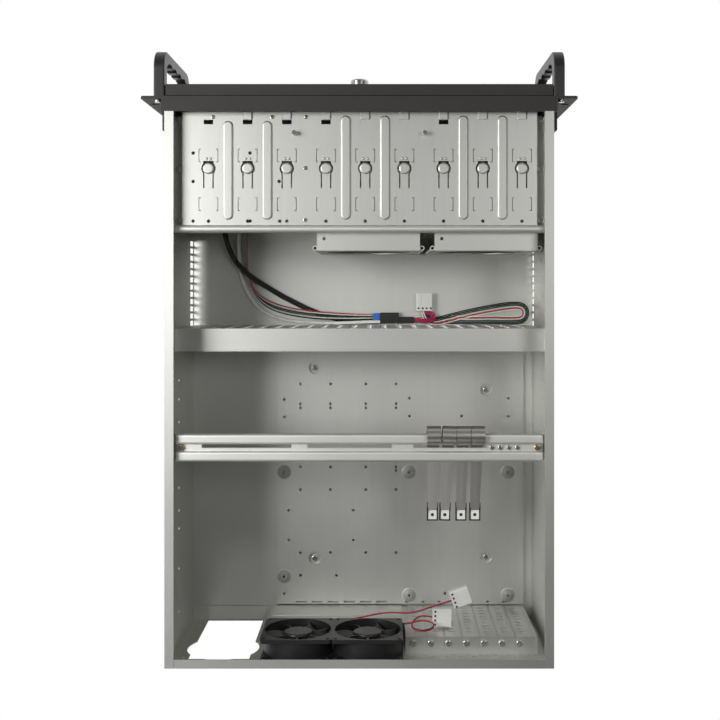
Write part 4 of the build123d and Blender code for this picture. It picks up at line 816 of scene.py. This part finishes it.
class CASE_OT_fan_leads(bpy.types.Operator):
    """Red and black leads of the rear fans"""

    bl_idname = "case.fan_leads"
    bl_label = "Fan leads"

    def execute(self, context):
        for number, route in ((1, FAN_LEFT_ROUTE), (2, FAN_RIGHT_ROUTE)):
            for side, colour in zip((1, -1), FAN_WIRES):
                points = beside(route, FAN_APART * side, FAN_UP * side, UNGATHERED)
                piece = lay_strand(f"fan_wire_{number}_{colour}", points, WIRE_THICK, insulation(colour))
                declare_lead(piece, points, f"fan_lead_{number}")
        return {"FINISHED"}


class CASE_OT_stage(bpy.types.Operator):
    """Pale floor, soft light and the camera overhead"""

    bl_idname = "case.stage"
    bl_label = "Stage"

    def execute(self, context):
        stage = context.scene.case_stage
        self.lay_floor()
        self.light_room(context, stage)
        self.hang_softbox("key_softbox", KEY_LIGHT, stage.key_power)
        self.hang_softbox("side_softbox", SIDE_LIGHT, stage.side_power)
        self.hang_softbox("rear_softbox", REAR_LIGHT, stage.rear_power)
        camera = bpy.data.cameras.new("camera")
        camera.sensor_width = SENSOR_WIDTH
        camera.lens = stage.lens
        camera.shift_x = SHIFT_ACROSS / PICTURE_SIDE
        camera.shift_y = SHIFT_UP / PICTURE_SIDE
        view = bpy.data.objects.new("camera", camera)
        view.location = (stage.camera_x, stage.camera_y, stage.camera_height)
        view.rotation_euler = (0.0, 0.0, math.pi)
        context.scene.collection.objects.link(view)
        context.scene.camera = view
        context.scene.view_settings.view_transform = "Standard"
        return {"FINISHED"}

    def lay_floor(self):
        """A pale floor that the camera sees as white, but for the part below the fans and slot covers."""
        mesh = bmesh.new()
        bmesh.ops.create_grid(mesh, x_segments=1, y_segments=1, size=FLOOR_HALF)
        bmesh.ops.translate(mesh, verts=mesh.verts, vec=(0, 0, -FLOOR_DROP))
        floor = new_piece("floor", mesh)
        material = bpy.data.materials.new("floor_paper")
        material.use_nodes = True
        paper = Graph(material.node_tree)
        rays = ("Is Camera Ray", "Is Glossy Ray", "Is Transmission Ray")
        camera, glossy, through = (paper.node("ShaderNodeLightPath", output=ray) for ray in rays)
        shown = (camera + through) * self.outside(paper, SHADE_MIDDLE, SHADE_HALF)
        mirrored = glossy * self.outside(paper, BEHIND_MIDDLE, BEHIND_HALF)
        plain = paper.node("ShaderNodeBsdfDiffuse", {}, {"Color": PAPER_GREY})
        glow = paper.node("ShaderNodeEmission", {}, {"Color": PAPER_GLOW, "Strength": 1.0})
        surface = paper.node("ShaderNodeMixShader", {}, {0: shown + mirrored, 1: plain, 2: glow})
        paper.end("ShaderNodeOutputMaterial", surface)
        floor.data.materials.append(material)

    def outside(self, paper, middles, halves):
        """0 on a rectangle of the paper and 1 outside it, with a short soft step between."""
        place = paper.node("ShaderNodeTexCoord", output="Object")
        past = []
        for axis, middle, half in zip("XY", middles, halves):
            along = paper.node("ShaderNodeSeparateXYZ", {}, {0: place}, output=axis)
            out = paper.node("ShaderNodeMath", {"operation": "ABSOLUTE"}, {0: along - middle})
            past.append(paper.node("ShaderNodeMapRange", {}, {
                "Value": out, "From Min": half, "From Max": half + SHADE_EDGE,
                "To Min": 0.0, "To Max": 1.0}))
        return paper.node("ShaderNodeMath", {"operation": "MAXIMUM"}, {0: past[0], 1: past[1]})

    def light_room(self, context, stage):
        """Pale walls in front and at the sides, under a dark ceiling and with a dim rear wall."""
        world = bpy.data.worlds.new("room")
        world.use_nodes = True
        context.scene.world = world
        room = Graph(world.node_tree)
        direction = room.node("ShaderNodeTexCoord", output="Generated")
        height = room.node("ShaderNodeSeparateXYZ", {}, {0: direction}, output="Z")
        back = room.node("ShaderNodeSeparateXYZ", {}, {0: direction}, output="Y")
        share = room.node("ShaderNodeMapRange", {}, {
            "Value": back, "From Min": REAR_FADE[0], "From Max": REAR_FADE[1],
            "To Min": 1.0, "To Max": REAR_SHARE})
        walls = room.node("ShaderNodeValToRGB", {"stops": ROOM_LEVELS}, {"Fac": height}) * share
        light = room.node("ShaderNodeBackground", {}, {"Color": walls, "Strength": stage.sky})
        room.end("ShaderNodeOutputWorld", light)

    def hang_softbox(self, name, light, power):
        """A square soft light that faces a point."""
        place, target, size = light
        lamp = bpy.data.lights.new(name, "AREA")
        lamp.energy = power
        lamp.size = size
        box = bpy.data.objects.new(name, lamp)
        box.location = place
        box.rotation_euler = (Vector(target) - Vector(place)).to_track_quat("-Z", "Y").to_euler()
        bpy.context.scene.collection.objects.link(box)


# Sidebar and registration
OPERATORS = (
    CASE_OT_sheet_metal,
    CASE_OT_front,
    CASE_OT_fans,
    CASE_OT_clamps,
    CASE_OT_plugs,
    CASE_OT_front_leads,
    CASE_OT_loop_lead,
    CASE_OT_fan_leads,
    CASE_OT_stage,
)


class CASE_PT_sidebar(bpy.types.Panel):
    """Sidebar panel with the case's steps and settings"""

    bl_idname = "CASE_PT_sidebar"
    bl_label = "Server case"
    bl_space_type = "VIEW_3D"
    bl_region_type = "UI"
    bl_category = "Server case"

    def draw(self, context):
        column = self.layout.column()
        for operator in OPERATORS:
            column.operator(operator.bl_idname)
        for group in (context.scene.case_finishes, context.scene.case_stage):
            for name in group.__annotations__:
                column.prop(group, name)


CLASSES = (CaseFinishes, CaseStage, *OPERATORS, CASE_PT_sidebar)


def register():
    for made in CLASSES:
        bpy.utils.register_class(made)
    bpy.types.Scene.case_finishes = bpy.props.PointerProperty(type=CaseFinishes)
    bpy.types.Scene.case_stage = bpy.props.PointerProperty(type=CaseStage)


def unregister():
    del bpy.types.Scene.case_stage
    del bpy.types.Scene.case_finishes
    for made in reversed(CLASSES):
        bpy.utils.unregister_class(made)


def main():
    register()
    for operator in OPERATORS:
        family, step = operator.bl_idname.split(".")
        getattr(getattr(bpy.ops, family), step)()


if __name__ == "__main__":
    main()
